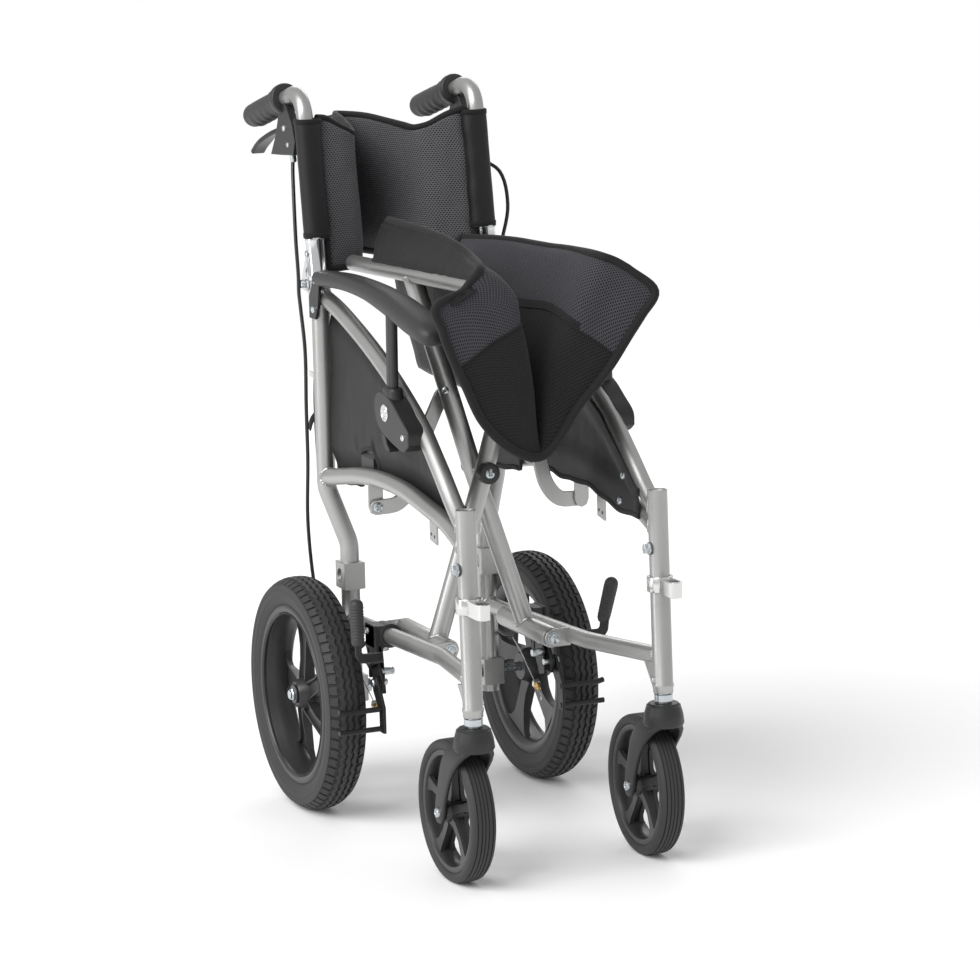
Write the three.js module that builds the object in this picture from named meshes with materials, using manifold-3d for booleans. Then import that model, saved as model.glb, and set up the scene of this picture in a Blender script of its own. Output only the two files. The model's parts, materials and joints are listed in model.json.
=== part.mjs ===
// A folding transit wheelchair, folded for storage, in millimetres.
// +Z is up and -Y is forwards, so +X is the chair's own left. The origin is on the floor, under the
// middle of the whole chair. Heights are above the floor, lengths (y) are behind the front legs, and
// distances across (x) are from the middle plane. Each side is built by the same functions, with
// side = -1 for the chair's own right and +1 for its left.
import * as THREE from 'three';
import { mergeVertices } from 'three/addons/utils/BufferGeometryUtils.js';
import Module from 'manifold-3d';

const wasm = await Module();
wasm.setup();

// Clearances
const GAP = 0.3;                 // between pieces that touch
const RUNNING = 0.45;            // between a pin and the hole it turns in
const ORIGIN_Y = 341.35;         // from the front legs back to the middle of the chair

// Side frames
const LEG_X = 129.4;             // front leg
const UPRIGHT_X = 123.5;         // rear upright above its bend
const STAY_X = 99.6;             // rear upright below its bend, and the bottom rail
const LEG_FOOT_Z = 221.5;
const LEG_TOP_Z = 478;
const LEG_RAKE = 9;              // how far back the leg leans over its height
const UPRIGHT_Y = 488;
const UPRIGHT_TOP_Z = 698;
const STAY_Y = 472;
const STAY_FOOT_Z = 128;
const POST_R = 12.6;             // legs and uprights
const RAIL_R = 11;               // rails
const BEND_R = 45;
const STAY_BEND_Z = [428, 352];  // where the upright starts and ends its step inwards
const BOTTOM_RAIL_REAR_Z = 247;
const BOTTOM_RAIL_KNEE = [160, 260];
const BOTTOM_RAIL_FRONT_Z = 268;
const TOP_RAIL_FOOT_Z = 449;
const SEAT_SIDE_RAIL_FOOT_Z = 428;
const TOP_RAIL = [
  [488, 686], [427, 674], [362, 655], [296, 632], [228, 603], [140, 556], [85, 512], [44, 476],
];
const SEAT_SIDE_RAIL = [[488, 441], [420, 453], [360, 463], [281, 470], [205, 469], [131, 460], [66, 449]];
const RAIL_STEPS = 14;
const TAB_Y = { right: 122, left: 158 };
const TAB_HOLE_R = 2.2;
const FOOTREST_Z = [350, 370];   // the footrest clamp's lower and upper faces
const CLAMP_WALL = 3.2;

// Rear wheels, on the lower of two axle blocks
const WHEEL_X = 167;
const AXLE_Y = 470;
const TYRE_R = 156;
const TYRE_WIDTH = 52;
const RIM_R = 120;
const RIM_WIDTH = 42;
const RIM_DEPTH = 9;
const HUB_R = 24;
const SPOKES = 5;
const WHEEL_SEGMENTS = 40;
const AXLE_R = 6;
const AXLE_BLOCK = [30, 32, 36];
const SPARE_BLOCK_Z = 309.5;
const SPARE_BORE_R = 9.5;
const HUB_IN = 24;               // the hub's reach from the wheel's middle plane, inwards and outwards
const HUB_OUT = 18;

// Casters
const CASTER_R = 90;
const CASTER_WIDTH = 32;
const CASTER_TREAD = 13;
const CASTER_TRAIL = 59;
const CASTER_AXLE_R = 4;
const CASTER_SPOKES = 5;
const FORK_CROWN_R = 27;
const FORK_CROWN_Z = [181, 206];
const FORK_CHEEK = 6;
const FORK_STEM_R = 8;
const FORK_STEM_DEPTH = 30;

// Cross brace: two crossed tubes, each with a pivot sleeve at its foot and a seat rail on top
const SLEEVE_X = 72;
const SLEEVE_Z = 257;
const SLEEVE_R = 13.5;
const SLEEVE_Y = [205, 353];
const SLEEVE_PIN_R = 5;
const BRACE_R = 12.5;
const BRACE_Y = { a: 285, b: 247 };
const PIVOT_Z = 475;
const PIVOT_PIN_R = 5;
const PIVOT_CAP_R = 14;
const SEAT_RAIL_X = 77;
const SEAT_RAIL_Z = 731;
const SEAT_RAIL_R = 10.5;
const SEAT_RAIL_Y = [64, 486];
const SEAT_RAIL_RISE = 14;       // its front end is this much higher than its rear end
const LUG_THICKNESS = 4;
const SADDLE_Y = [330, 372];
const OPEN_ANGLE = 42.5;         // how far each brace tube turns from folded to open

// Folding links between each side frame and the brace tube that reaches over to it
const LINK_THICKNESS = 5;
const LINK_HALF_WIDTH = 10;
const LINK_FOOT_Z = 431;
const LINK_PIN_R = 4;

// Push handles, folding back on a hinge at the foot of the cane
const CANE_X = 122.5;
const CANE_R = 11;
const CANE_FOOT = [496.5, 703];
const CANE_BEND = [534.5, 951];
const HANDLE_END = [722, 903];
const BACK_HINGE = [530, 695];
const HINGE_PIN_R = 4;
const HINGE_PLATE = 6;
const GRIP_R = 16.5;
const GRIP_LENGTH = 122;

// Armrests
const PAD_WIDTH = 44;
const PAD_INSET = 8.5;           // from the post's inner face in to the pad's middle
const POST_Y = 194;              // where the post stands beside the top rail
const POST_CLEARANCE = 0.45;
const POST_WIDTH = 12;
const ARM_PIVOT = [462, 707];
const ARM_PLATE = 4;
const ARM_PIN_R = 4;

// Parking brakes
const BRAKE_X = 121;             // the hanging plate that carries lever and stop
const BRAKE_PLATE = 4;
const BRAKE_PIN_R = 4;
const LEVER_BAR_R = 4.5;
const LEVER_PLANE = BRAKE_X + BRAKE_PLATE / 2 + GAP + LEVER_BAR_R;
const LEVER_PIVOT = [338, 222];
const STOP_PIVOT = [322, 196];
const LEVER_GRIP_X = 172;
const STOP_ROD_R = 4;
const STOP_ROD_Z = [166, 140];
const STOP_ROD_Y = AXLE_Y - TYRE_R - 14;

// Attendant brakes
const ATTENDANT_PIVOT = [584, 897];
const ATTENDANT_PIN_R = 3;
const PERCH_X = CANE_X + 2;
const CABLE_SPLIT = 4;           // half the room between the two lengths of cable at the back hinge
const CABLE_R = 2.5;

// Soft parts
const SEAT_THICKNESS = 18;
const SEAT_CLEARANCE = 1.2;
const SEAT_Z = [770, 730];       // top edge, and shoulder beside the rail
const SEAT_MIDDLE = 2.14;        // from the middle plane to the foot of the fold
const SEAT_Y = [44, 62, 478];    // front of the flap, its fold, and the rear edge
const BACK_THICKNESS = 16;
const BACK_LINE = [[96, 534], [66, 543], [48, 562], [28, 630], [17, 705]];  // [x, y] of its top edge
const BACK_Z = [760, 908];
const GUARD_THICKNESS = 2;

const RIGHT = -1;
const LEFT = 1;

// ---------------------------------------------------------------------------------------------
// Shapes

const v3 = (x, y, z) => new THREE.Vector3(x, y, z);

function ringPoints(radius, sides) {
  const points = [];
  for (let i = 0; i < sides; i++) {
    const angle = ((i + 0.5) / sides) * Math.PI * 2;
    points.push(new THREE.Vector2(radius * Math.cos(angle), radius * Math.sin(angle)));
  }
  return points;
}

// A path of straight runs joined by round corners. Its stations are the ends of the straight runs
// and a few along each corner, so a long straight tube stays two rings.
class TubeRun extends THREE.Curve {
  constructor(points, bend) {
    super();
    this.stations = [];
    const last = points.length - 1;
    points.forEach((corner, i) => {
      if (i === 0 || i === last) {
        const along = i === 0 ? points[1].clone().sub(corner) : corner.clone().sub(points[i - 1]);
        this.stations.push({ point: corner, tangent: along.normalize() });
        return;
      }
      const into = corner.clone().sub(points[i - 1]).normalize();
      const out = points[i + 1].clone().sub(corner).normalize();
      const turn = into.angleTo(out);
      const reach = bend * Math.tan(turn / 2);
      const centre = corner.clone().addScaledVector(into, -reach);
      const inward = out.clone().addScaledVector(into, -out.dot(into)).normalize();
      centre.addScaledVector(inward, bend);
      const steps = Math.max(1, Math.ceil(turn / (Math.PI / 9)));
      for (let k = 0; k <= steps; k++) {
        const angle = (turn * k) / steps;
        const point = centre.clone().addScaledVector(inward, -bend * Math.cos(angle));
        point.addScaledVector(into, bend * Math.sin(angle));
        const tangent = into.clone().multiplyScalar(Math.cos(angle));
        this.stations.push({ point, tangent: tangent.addScaledVector(inward, Math.sin(angle)) });
      }
    });
  }

  getSpacedPoints() {
    return this.stations.map((station) => station.point);
  }

  getTangentAt(u) {
    return this.stations[Math.round(u * (this.stations.length - 1))].tangent.clone();
  }
}

function sweep(path, steps, radius, sides) {
  const section = new THREE.Shape(ringPoints(radius, sides));
  return new THREE.ExtrudeGeometry(section, { steps, extrudePath: path });
}

function tube(points, radius, { bend = BEND_R, sides = 12 } = {}) {
  const run = new TubeRun(points, bend);
  return sweep(run, run.stations.length - 1, radius, sides);
}

function curvedTube(points, radius, { steps = RAIL_STEPS, sides = 12 } = {}) {
  return sweep(new THREE.CatmullRomCurve3(points), steps, radius, sides);
}

// A round solid from a closed profile of [radius, distance along the axis] points
function turned(profile, segments = 24) {
  let points = profile.map(([r, along]) => new THREE.Vector2(r, along));
  if (THREE.ShapeUtils.isClockWise(points)) points.reverse();
  points = [...points, points[0].clone()];
  return new THREE.LatheGeometry(points, segments);
}

const alongX = (geometry) => geometry.rotateZ(-Math.PI / 2);
const alongZ = (geometry) => geometry.rotateX(Math.PI / 2);

function disc(radius, from, to, segments = 16) {
  return turned([[0, from], [radius, from], [radius, to], [0, to]], segments);
}

// A cylinder along X between two x values, at a [y, z] place
function pinX(radius, x0, x1, [y, z], segments = 16) {
  return alongX(disc(radius, Math.min(x0, x1), Math.max(x0, x1), segments)).translate(0, y, z);
}

// A cylinder along Y between two y values, at an [x, z] place
function pinY(radius, y0, y1, [x, z], segments = 16) {
  return disc(radius, y0, y1, segments).translate(x, 0, z);
}

function box([x0, x1], [y0, y1], [z0, z1]) {
  const geometry = new THREE.BoxGeometry(Math.abs(x1 - x0), y1 - y0, z1 - z0);
  return geometry.translate((x0 + x1) / 2, (y0 + y1) / 2, (z0 + z1) / 2);
}

function outlineShape(points) {
  return new THREE.Shape(points.map(([u, v]) => new THREE.Vector2(u, v)));
}

// A flat plate across X: its outline is in [y, z], its middle at x
function plateX(points, x, thickness) {
  const geometry = new THREE.ExtrudeGeometry(outlineShape(points), { depth: thickness, bevelEnabled: false });
  geometry.translate(0, 0, -thickness / 2);
  const turn = new THREE.Matrix4().makeBasis(v3(0, 1, 0), v3(0, 0, 1), v3(1, 0, 0));
  return geometry.applyMatrix4(turn).translate(x, 0, 0);
}

// A flat plate across Y: its outline is in [x, z], its middle at y
function plateY(points, y, thickness) {
  const geometry = new THREE.ExtrudeGeometry(outlineShape(points), { depth: thickness, bevelEnabled: false });
  geometry.translate(0, 0, -thickness / 2);
  return geometry.rotateX(Math.PI / 2).translate(0, y, 0);
}

// The outline of a bar with round ends that follows a line of [u, v] points
function barOutline(points, halfWidth, samples = 10) {
  const curve = new THREE.SplineCurve(points.map(([u, v]) => new THREE.Vector2(u, v)));
  const sideA = [];
  const sideB = [];
  for (let i = 0; i <= samples; i++) {
    const at = curve.getPointAt(i / samples);
    const along = curve.getTangentAt(i / samples);
    sideA.push([at.x - along.y * halfWidth, at.y + along.x * halfWidth]);
    sideB.unshift([at.x + along.y * halfWidth, at.y - along.x * halfWidth]);
  }
  const cap = (u) => {
    const at = curve.getPointAt(u);
    const along = curve.getTangentAt(u).multiplyScalar(u === 0 ? -1 : 1);
    const arc = [];
    for (const angle of [-0.5, 0, 0.5].map((k) => k * 1.2)) {
      arc.push([
        at.x + halfWidth * (along.x * Math.cos(angle) - along.y * Math.sin(angle)),
        at.y + halfWidth * (along.y * Math.cos(angle) + along.x * Math.sin(angle)),
      ]);
    }
    return arc;
  };
  return [...sideA, ...cap(1).reverse(), ...sideB, ...cap(0).reverse()];
}

// ---------------------------------------------------------------------------------------------
// Joining and cutting

function toSolid(geometry) {
  const plain = geometry.clone();
  plain.deleteAttribute('normal');
  plain.deleteAttribute('uv');
  const merged = mergeVertices(plain, 1e-4);
  const index = merged.index.array;
  const triangles = [];
  for (let i = 0; i < index.length; i += 3) {
    const [a, b, c] = [index[i], index[i + 1], index[i + 2]];
    if (a !== b && b !== c && c !== a) triangles.push(a, b, c);
  }
  const vertProperties = new Float32Array(merged.attributes.position.array);
  const triVerts = new Uint32Array(triangles);
  return new wasm.Manifold(new wasm.Mesh({ numProp: 3, vertProperties, triVerts }));
}

function toGeometry(solid) {
  const { vertProperties, triVerts } = solid.getMesh();
  const geometry = new THREE.BufferGeometry();
  geometry.setAttribute('position', new THREE.BufferAttribute(vertProperties, 3));
  geometry.setIndex(new THREE.BufferAttribute(triVerts, 1));
  return geometry;
}

function join(...geometries) {
  return toGeometry(geometries.map(toSolid).reduce((whole, piece) => whole.add(piece)));
}

function cut(geometry, ...tools) {
  return toGeometry(tools.map(toSolid).reduce((whole, tool) => whole.subtract(tool), toSolid(geometry)));
}

// ---------------------------------------------------------------------------------------------
// Materials

function finish(color, roughness, metalness) {
  return new THREE.MeshStandardMaterial({ color, roughness, metalness, flatShading: true });
}

const silver = finish(0xc4c5c6, 0.38, 0.85);
const bright = finish(0xdadcde, 0.2, 1.0);
const black = finish(0x1b1c1e, 0.55, 0.0);
const rubber = finish(0x141414, 0.8, 0.0);
const grip = finish(0x45474a, 0.75, 0.0);
const nylon = finish(0x1a1a1c, 0.9, 0.0);
const mesh = finish(0x3d3d44, 0.95, 0.0);

const chair = new THREE.Group();
chair.position.y = -ORIGIN_Y;

function add(name, geometry, material) {
  const piece = new THREE.Mesh(geometry, material);
  piece.name = name;
  chair.add(piece);
}

// ---------------------------------------------------------------------------------------------
// Side frame tubes. Each rail is coped round the posts that it is welded between.

const legAt = (z) => (LEG_RAKE * (z - LEG_FOOT_Z)) / (LEG_TOP_Z - LEG_FOOT_Z);

function legLine(side) {
  return [v3(side * LEG_X, 0, LEG_FOOT_Z), v3(side * LEG_X, LEG_RAKE, LEG_TOP_Z)];
}

function uprightLine(side) {
  return [
    v3(side * UPRIGHT_X, UPRIGHT_Y, UPRIGHT_TOP_Z),
    v3(side * UPRIGHT_X, UPRIGHT_Y, STAY_BEND_Z[0]),
    v3(side * STAY_X, STAY_Y + 1, STAY_BEND_Z[1]),
    v3(side * STAY_X, STAY_Y, STAY_FOOT_Z),
  ];
}

// Across from the upright to the leg, a rail above the bend moves outwards evenly
const railX = (y) => LEG_X + ((UPRIGHT_X - LEG_X) * y) / UPRIGHT_Y;

// The room that a post takes up, run on past both its ends
function postRoom(line) {
  const past = 30;
  const [first, second] = line;
  const [before, last] = line.slice(-2);
  const start = first.clone().addScaledVector(first.clone().sub(second).normalize(), past);
  const end = last.clone().addScaledVector(last.clone().sub(before).normalize(), past);
  return tube([start, ...line.slice(1, -1), end], POST_R + GAP);
}

const betweenPosts = (rail, side) => cut(rail, postRoom(legLine(side)), postRoom(uprightLine(side)));

function railCurve(places, side, footZ) {
  const points = places.map(([y, z]) => v3(side * railX(y), y, z));
  return [...points, v3(side * LEG_X, legAt(footZ), footZ)];
}

const topRailLine = (side) => railCurve(TOP_RAIL, side, TOP_RAIL_FOOT_Z);
const seatSideRailLine = (side) => railCurve(SEAT_SIDE_RAIL, side, SEAT_SIDE_RAIL_FOOT_Z);

function topRail(side) {
  return betweenPosts(curvedTube(topRailLine(side), RAIL_R), side);
}

function frontLeg(side) {
  const socket = alongZ(disc(FORK_STEM_R + GAP, 0, FORK_STEM_DEPTH + 2, 12));
  return cut(tube(legLine(side), POST_R), socket.translate(side * LEG_X, 0, LEG_FOOT_Z - 1));
}

function rearUpright(side) {
  const [width, depth, height] = AXLE_BLOCK;
  const block = (z) => box(
    [side * STAY_X - width / 2, side * STAY_X + width / 2],
    [STAY_Y - depth / 2, STAY_Y + depth / 2],
    [z - height / 2, z + height / 2],
  );
  const hingeLug = plateX(
    [[UPRIGHT_Y, 655], [UPRIGHT_Y, 687], [BACK_HINGE[0] - 6, BACK_HINGE[1] + 9],
      [BACK_HINGE[0] + 5, BACK_HINGE[1] + 9], [BACK_HINGE[0] + 10, BACK_HINGE[1] + 2],
      [BACK_HINGE[0] + 9, BACK_HINGE[1] - 5], [BACK_HINGE[0] + 2, BACK_HINGE[1] - 10]],
    side * UPRIGHT_X, HINGE_PLATE,
  );
  const hingePin = pinX(HINGE_PIN_R, side * (UPRIGHT_X - 11), side * (UPRIGHT_X + 11), BACK_HINGE, 12);
  const plateAt = UPRIGHT_X + POST_R + ARM_PLATE / 2 - 1;
  const armPlate = cut(plateX(
    [[UPRIGHT_Y + 4, 655], [UPRIGHT_Y + 4, 684], [ARM_PIVOT[0] + 9, ARM_PIVOT[1] + 4],
      [ARM_PIVOT[0] + 3, ARM_PIVOT[1] + 9], [ARM_PIVOT[0] - 6, ARM_PIVOT[1] + 7],
      [ARM_PIVOT[0] - 9, ARM_PIVOT[1]], [ARM_PIVOT[0] - 2, 672], [UPRIGHT_Y - 18, 655]],
    side * plateAt, ARM_PLATE,
  ), curvedTube(topRailLine(side), RAIL_R + GAP / 2));
  const armPin = pinX(ARM_PIN_R, side * (plateAt - 6), side * (plateAt + 6), ARM_PIVOT, 12);
  const post = tube(uprightLine(side), POST_R);
  const body = join(post, block(TYRE_R), block(SPARE_BLOCK_Z), hingeLug, hingePin, armPlate, armPin);
  const through = [side * (STAY_X - width), side * (STAY_X + width)];
  const bore = pinX(AXLE_R + RUNNING, ...through, [AXLE_Y, TYRE_R], 24);
  const spareBore = pinX(SPARE_BORE_R, ...through, [STAY_Y, SPARE_BLOCK_Z], 16);
  return cut(body, bore, spareBore);
}

// The rail that the seat lands beside, with the folding link's bracket and bolt and a small holed tab
function seatSideRail(side) {
  const y = linkY(side);
  const x = side * railX(y);
  const plateY0 = y + side * -1 * (LINK_THICKNESS / 2 + GAP + 2);
  const bracket = plateY(
    [[x - 10, 466], [x - 10, LINK_FOOT_Z], [x - 7, LINK_FOOT_Z - 8], [x, LINK_FOOT_Z - 11],
      [x + 7, LINK_FOOT_Z - 8], [x + 10, LINK_FOOT_Z], [x + 10, 466]],
    plateY0, 4,
  );
  const outer = y + side * (LINK_THICKNESS / 2 + GAP + 4);
  const bolt = pinY(LINK_PIN_R, Math.min(plateY0, outer), Math.max(plateY0, outer), [x, LINK_FOOT_Z], 12);
  const headNear = y + side * (LINK_THICKNESS / 2 + GAP);
  const head = pinY(7, Math.min(headNear, outer), Math.max(headNear, outer), [x, LINK_FOOT_Z], 12);
  const tabY = side === RIGHT ? TAB_Y.right : TAB_Y.left;
  const tabX = side * (railX(tabY) - 4);
  const tab = plateX([[tabY - 11, 461], [tabY - 11, 415], [tabY + 11, 419], [tabY + 11, 463]], tabX, 3);
  const rail = betweenPosts(curvedTube(seatSideRailLine(side), RAIL_R), side);
  return cut(
    join(rail, bracket, bolt, head, tab),
    pinX(TAB_HOLE_R, tabX - 4, tabX + 4, [tabY - 5, 425], 8),
    pinX(TAB_HOLE_R, tabX - 4, tabX + 4, [tabY + 5, 427], 8),
  );
}

// The bottom rail carries a lug at each end of the brace's sleeve, and the pin the sleeve turns on
function bottomRail(side) {
  const line = [
    v3(side * STAY_X, STAY_Y, BOTTOM_RAIL_REAR_Z),
    v3(side * STAY_X, ...BOTTOM_RAIL_KNEE),
    v3(side * LEG_X, legAt(BOTTOM_RAIL_FRONT_Z), BOTTOM_RAIL_FRONT_Z),
  ];
  const rail = betweenPosts(tube(line, RAIL_R, { bend: 120 }), side);
  const lugOutline = [
    [STAY_X - 3, SLEEVE_Z + 12], [SLEEVE_X, SLEEVE_Z + 12], [SLEEVE_X - 9, SLEEVE_Z + 8],
    [SLEEVE_X - 12, SLEEVE_Z], [SLEEVE_X - 9, SLEEVE_Z - 8], [SLEEVE_X, SLEEVE_Z - 12],
    [STAY_X - 3, SLEEVE_Z - 12],
  ].map(([x, z]) => [side * x, z]);
  const lugPlaces = [SLEEVE_Y[0] - GAP - LUG_THICKNESS / 2, SLEEVE_Y[1] + GAP + LUG_THICKNESS / 2];
  const lugs = lugPlaces.map((y) => plateY(lugOutline, y, LUG_THICKNESS));
  const ends = [SLEEVE_Y[0] - GAP - LUG_THICKNESS - 4, SLEEVE_Y[1] + GAP + LUG_THICKNESS + 4];
  const pinAt = [side * SLEEVE_X, SLEEVE_Z];
  const pin = pinY(SLEEVE_PIN_R, ends[0], ends[1], pinAt, 12);
  const heads = [[ends[0], ends[0] + 5], [ends[1] - 5, ends[1]]].map(([y0, y1]) => pinY(8, y0, y1, pinAt, 6));
  return join(rail, ...lugs, pin, ...heads);
}

// ---------------------------------------------------------------------------------------------
// Cross brace

const linkY = (side) => (side === RIGHT
  ? BRACE_Y.a + BRACE_R + 1.7 + GAP + LINK_THICKNESS / 2 + 2
  : BRACE_Y.b - BRACE_R - GAP - LINK_THICKNESS / 2 - 2);

// Each brace tube runs from the sleeve on its foot's side up to the seat rail on the other side
function brace(foot, key) {
  const y = BRACE_Y[key];
  const top = -foot;
  const sleeve = pinY(SLEEVE_R, SLEEVE_Y[0], SLEEVE_Y[1], [foot * SLEEVE_X, SLEEVE_Z], 16);
  const pinAt = [foot * SLEEVE_X, SLEEVE_Z];
  const pinHole = pinY(SLEEVE_PIN_R + RUNNING, SLEEVE_Y[0] - 1, SLEEVE_Y[1] + 1, pinAt, 16);
  const line = [v3(foot * SLEEVE_X, y, SLEEVE_Z), v3(0, y, PIVOT_Z), v3(top * SEAT_RAIL_X, y, SEAT_RAIL_Z)];
  const arm = tube(line, BRACE_R, { bend: 300 });
  const half = SEAT_RAIL_RISE / 2;
  const rail = tube([
    v3(top * SEAT_RAIL_X, SEAT_RAIL_Y[0], SEAT_RAIL_Z + half),
    v3(top * SEAT_RAIL_X, SEAT_RAIL_Y[1], SEAT_RAIL_Z - half),
  ], SEAT_RAIL_R);
  return cut(join(sleeve, arm, rail), pinHole);
}

// Brace b also holds the pivot: cap in front, spacer between the tubes, pin through brace a and nut
function braceB() {
  const front = BRACE_Y.b - BRACE_R;
  const back = BRACE_Y.a + BRACE_R;
  const cap = pinY(PIVOT_CAP_R, front - 10, front + 4, [0, PIVOT_Z], 16);
  const spacer = pinY(PIVOT_CAP_R - 2, BRACE_Y.b, BRACE_Y.a - BRACE_R - GAP, [0, PIVOT_Z], 16);
  const pin = pinY(PIVOT_PIN_R, BRACE_Y.b, back + 9, [0, PIVOT_Z], 16);
  const nut = pinY(8, back + 1, back + 9, [0, PIVOT_Z], 6);
  return join(brace(RIGHT, 'b'), cap, spacer, pin, nut);
}

function braceA() {
  const through = [BRACE_Y.a - 2 * BRACE_R, BRACE_Y.a + 2 * BRACE_R];
  const hole = pinY(PIVOT_PIN_R + RUNNING, ...through, [0, PIVOT_Z], 16);
  return cut(brace(LEFT, 'a'), hole);
}

function foldLink(side) {
  const y = linkY(side);
  const foot = railX(y);
  const line = [[foot, LINK_FOOT_Z], [foot - 29, 434], [foot - 47, 454], [68, 495], [50, 534], [33, 568]];
  const bar = plateY(barOutline(line.map(([x, z]) => [side * x, z]), LINK_HALF_WIDTH), y, LINK_THICKNESS);
  const hole = (x, z) => pinY(LINK_PIN_R + RUNNING, y - 5, y + 5, [side * x, z], 12);
  return cut(bar, hole(foot, LINK_FOOT_Z), hole(33, 568));
}

// Where a seat rail lies over its saddle, beside its own side frame, once the chair is open
function openSeatRail() {
  const turn = THREE.MathUtils.degToRad(OPEN_ANGLE);
  const [cos, sin] = [Math.cos(turn), Math.sin(turn)];
  const spread = 2 * (SLEEVE_X * cos + (PIVOT_Z - SLEEVE_Z) * sin - SLEEVE_X);
  const along = ((SADDLE_Y[0] + SADDLE_Y[1]) / 2 - SEAT_RAIL_Y[0]) / (SEAT_RAIL_Y[1] - SEAT_RAIL_Y[0]);
  const height = SEAT_RAIL_Z + SEAT_RAIL_RISE * (0.5 - along);
  const [reach, rise] = [SLEEVE_X + SEAT_RAIL_X, height - SLEEVE_Z];
  return [reach * cos + rise * sin - SLEEVE_X - spread, SLEEVE_Z - reach * sin + rise * cos];
}

// A plastic cup on the seat side rail's inner face, that the seat rail drops into when the chair opens
function railSaddle(side) {
  const [railAt, seat] = openSeatRail();
  const x = side * railAt;
  const wall = 4;
  const lip = 4;
  const inner = SEAT_RAIL_R + 1.6;
  const cup = [];
  for (let k = 0; k <= 6; k++) {
    const angle = Math.PI + (Math.PI * k) / 6;
    cup.push([x + inner * Math.cos(angle), seat + inner * Math.sin(angle)]);
  }
  const under = seat - inner - wall;
  const [nearRail, stem, foot] = [side * 14, 5, 461];
  const outline = [
    ...cup, [x + inner, seat + lip], [x + inner + wall, seat + lip], [x + inner + wall, under + 6],
    [x + nearRail + stem, under], [x + nearRail + stem, foot], [x + nearRail - stem, foot],
    [x + nearRail - stem, under], [x - inner - wall, under + 6], [x - inner - wall, seat + lip],
    [x - inner, seat + lip],
  ];
  const [y0, y1] = SADDLE_Y;
  return cut(plateY(outline, (y0 + y1) / 2, y1 - y0), curvedTube(seatSideRailLine(side), RAIL_R + GAP));
}

// ---------------------------------------------------------------------------------------------
// Rear wheels

// A lathe profile given outwards from the middle plane, turned round X on either side
function turnedX(profile, side, segments) {
  return alongX(turned(profile.map(([r, out]) => [r, side * out]), segments));
}

function wheelRim(side) {
  const half = RIM_WIDTH / 2;
  const inner = RIM_R - RIM_DEPTH;
  const hoop = turnedX([[inner, -half], [RIM_R, -half], [RIM_R, half], [inner, half]], side, WHEEL_SEGMENTS);
  const hubProfile = [[0, -HUB_IN], [HUB_R - 6, -HUB_IN], [HUB_R, -12], [HUB_R, HUB_OUT], [0, HUB_OUT]];
  const hub = turnedX(hubProfile, side, 20);
  const bore = pinX(AXLE_R + RUNNING, -40, 40, [0, 0], 24);
  const spokes = [];
  for (let i = 0; i < SPOKES; i++) {
    const angle = (i / SPOKES) * Math.PI * 2;
    const at = (radius, lead) => [radius * Math.sin(angle + lead), radius * Math.cos(angle + lead)];
    const line = [at(HUB_R, 0), at((HUB_R + inner) / 2, 0.32), at(inner - 2, 0.42)];
    spokes.push(plateX(barOutline(line, 10, 4), 0, 18));
  }
  return cut(join(hoop, hub, ...spokes), bore).translate(side * WHEEL_X, AXLE_Y, TYRE_R);
}

function rearTyre(side) {
  const half = TYRE_WIDTH / 2;
  const seat = RIM_R + GAP;
  const profile = [
    [seat, -RIM_WIDTH / 2], [seat + 10, -half], [TYRE_R - 12, -half], [TYRE_R - 3, -half * 0.62],
    [TYRE_R, -half * 0.25], [TYRE_R, half * 0.25], [TYRE_R - 3, half * 0.62], [TYRE_R - 12, half],
    [seat + 10, half], [seat, RIM_WIDTH / 2],
  ];
  return turnedX(profile, side, WHEEL_SEGMENTS).translate(side * WHEEL_X, AXLE_Y, TYRE_R);
}

// The axle bolt, with a nut inside the axle block and another outside the hub
function rearAxle(side) {
  const nut = 10;
  const inner = STAY_X - AXLE_BLOCK[0] / 2 - GAP;
  const outer = WHEEL_X + HUB_OUT + GAP;
  return turnedX([
    [0, inner - 8], [nut, inner - 8], [nut, inner], [AXLE_R, inner],
    [AXLE_R, outer], [nut, outer], [nut, outer + 6], [0, outer + 6],
  ], side, 16).translate(0, AXLE_Y, TYRE_R);
}

// ---------------------------------------------------------------------------------------------
// Casters, built about the swivel axis and then turned and set under the leg

const casterYaw = (side) => (side === LEFT ? -THREE.MathUtils.degToRad(2.5) : 0);
const setCaster = (geometry, side) => geometry.rotateZ(casterYaw(side)).translate(side * LEG_X, 0, 0);

function casterFork(side) {
  const [z0, z1] = FORK_CROWN_Z;
  const r = FORK_CROWN_R;
  const crown = alongZ(turned([[0, z0], [r - 2, z0], [r, z0 + 6], [r, z1 - 9], [r - 5, z1], [0, z1]], 20));
  const stem = alongZ(disc(FORK_STEM_R, z1 - 2, LEG_FOOT_Z + FORK_STEM_DEPTH, 12));
  const cheekX = CASTER_WIDTH / 2 + 3 + FORK_CHEEK / 2;
  const [y, z] = [CASTER_TRAIL, CASTER_R];
  const outline = [
    [-18, 192], [23, 196], [34, 178], [y - 8, 138], [y + 13, z + 5], [y + 10, z - 10],
    [y, z - 14], [y - 11, z - 8], [y - 18, z + 22], [18, 150], [-4, 168], [-18, 180],
  ];
  const cheeks = [-1, 1].map((hand) => plateX(outline, hand * cheekX, FORK_CHEEK));
  const reach = cheekX + FORK_CHEEK / 2 + 4;
  const axle = pinX(CASTER_AXLE_R, -reach, reach, [y, z], 16);
  const heads = [-1, 1].map((hand) => pinX(7, hand * (reach - 5), hand * reach, [y, z], 6));
  return setCaster(join(crown, stem, ...cheeks, axle, ...heads), side);
}

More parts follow.
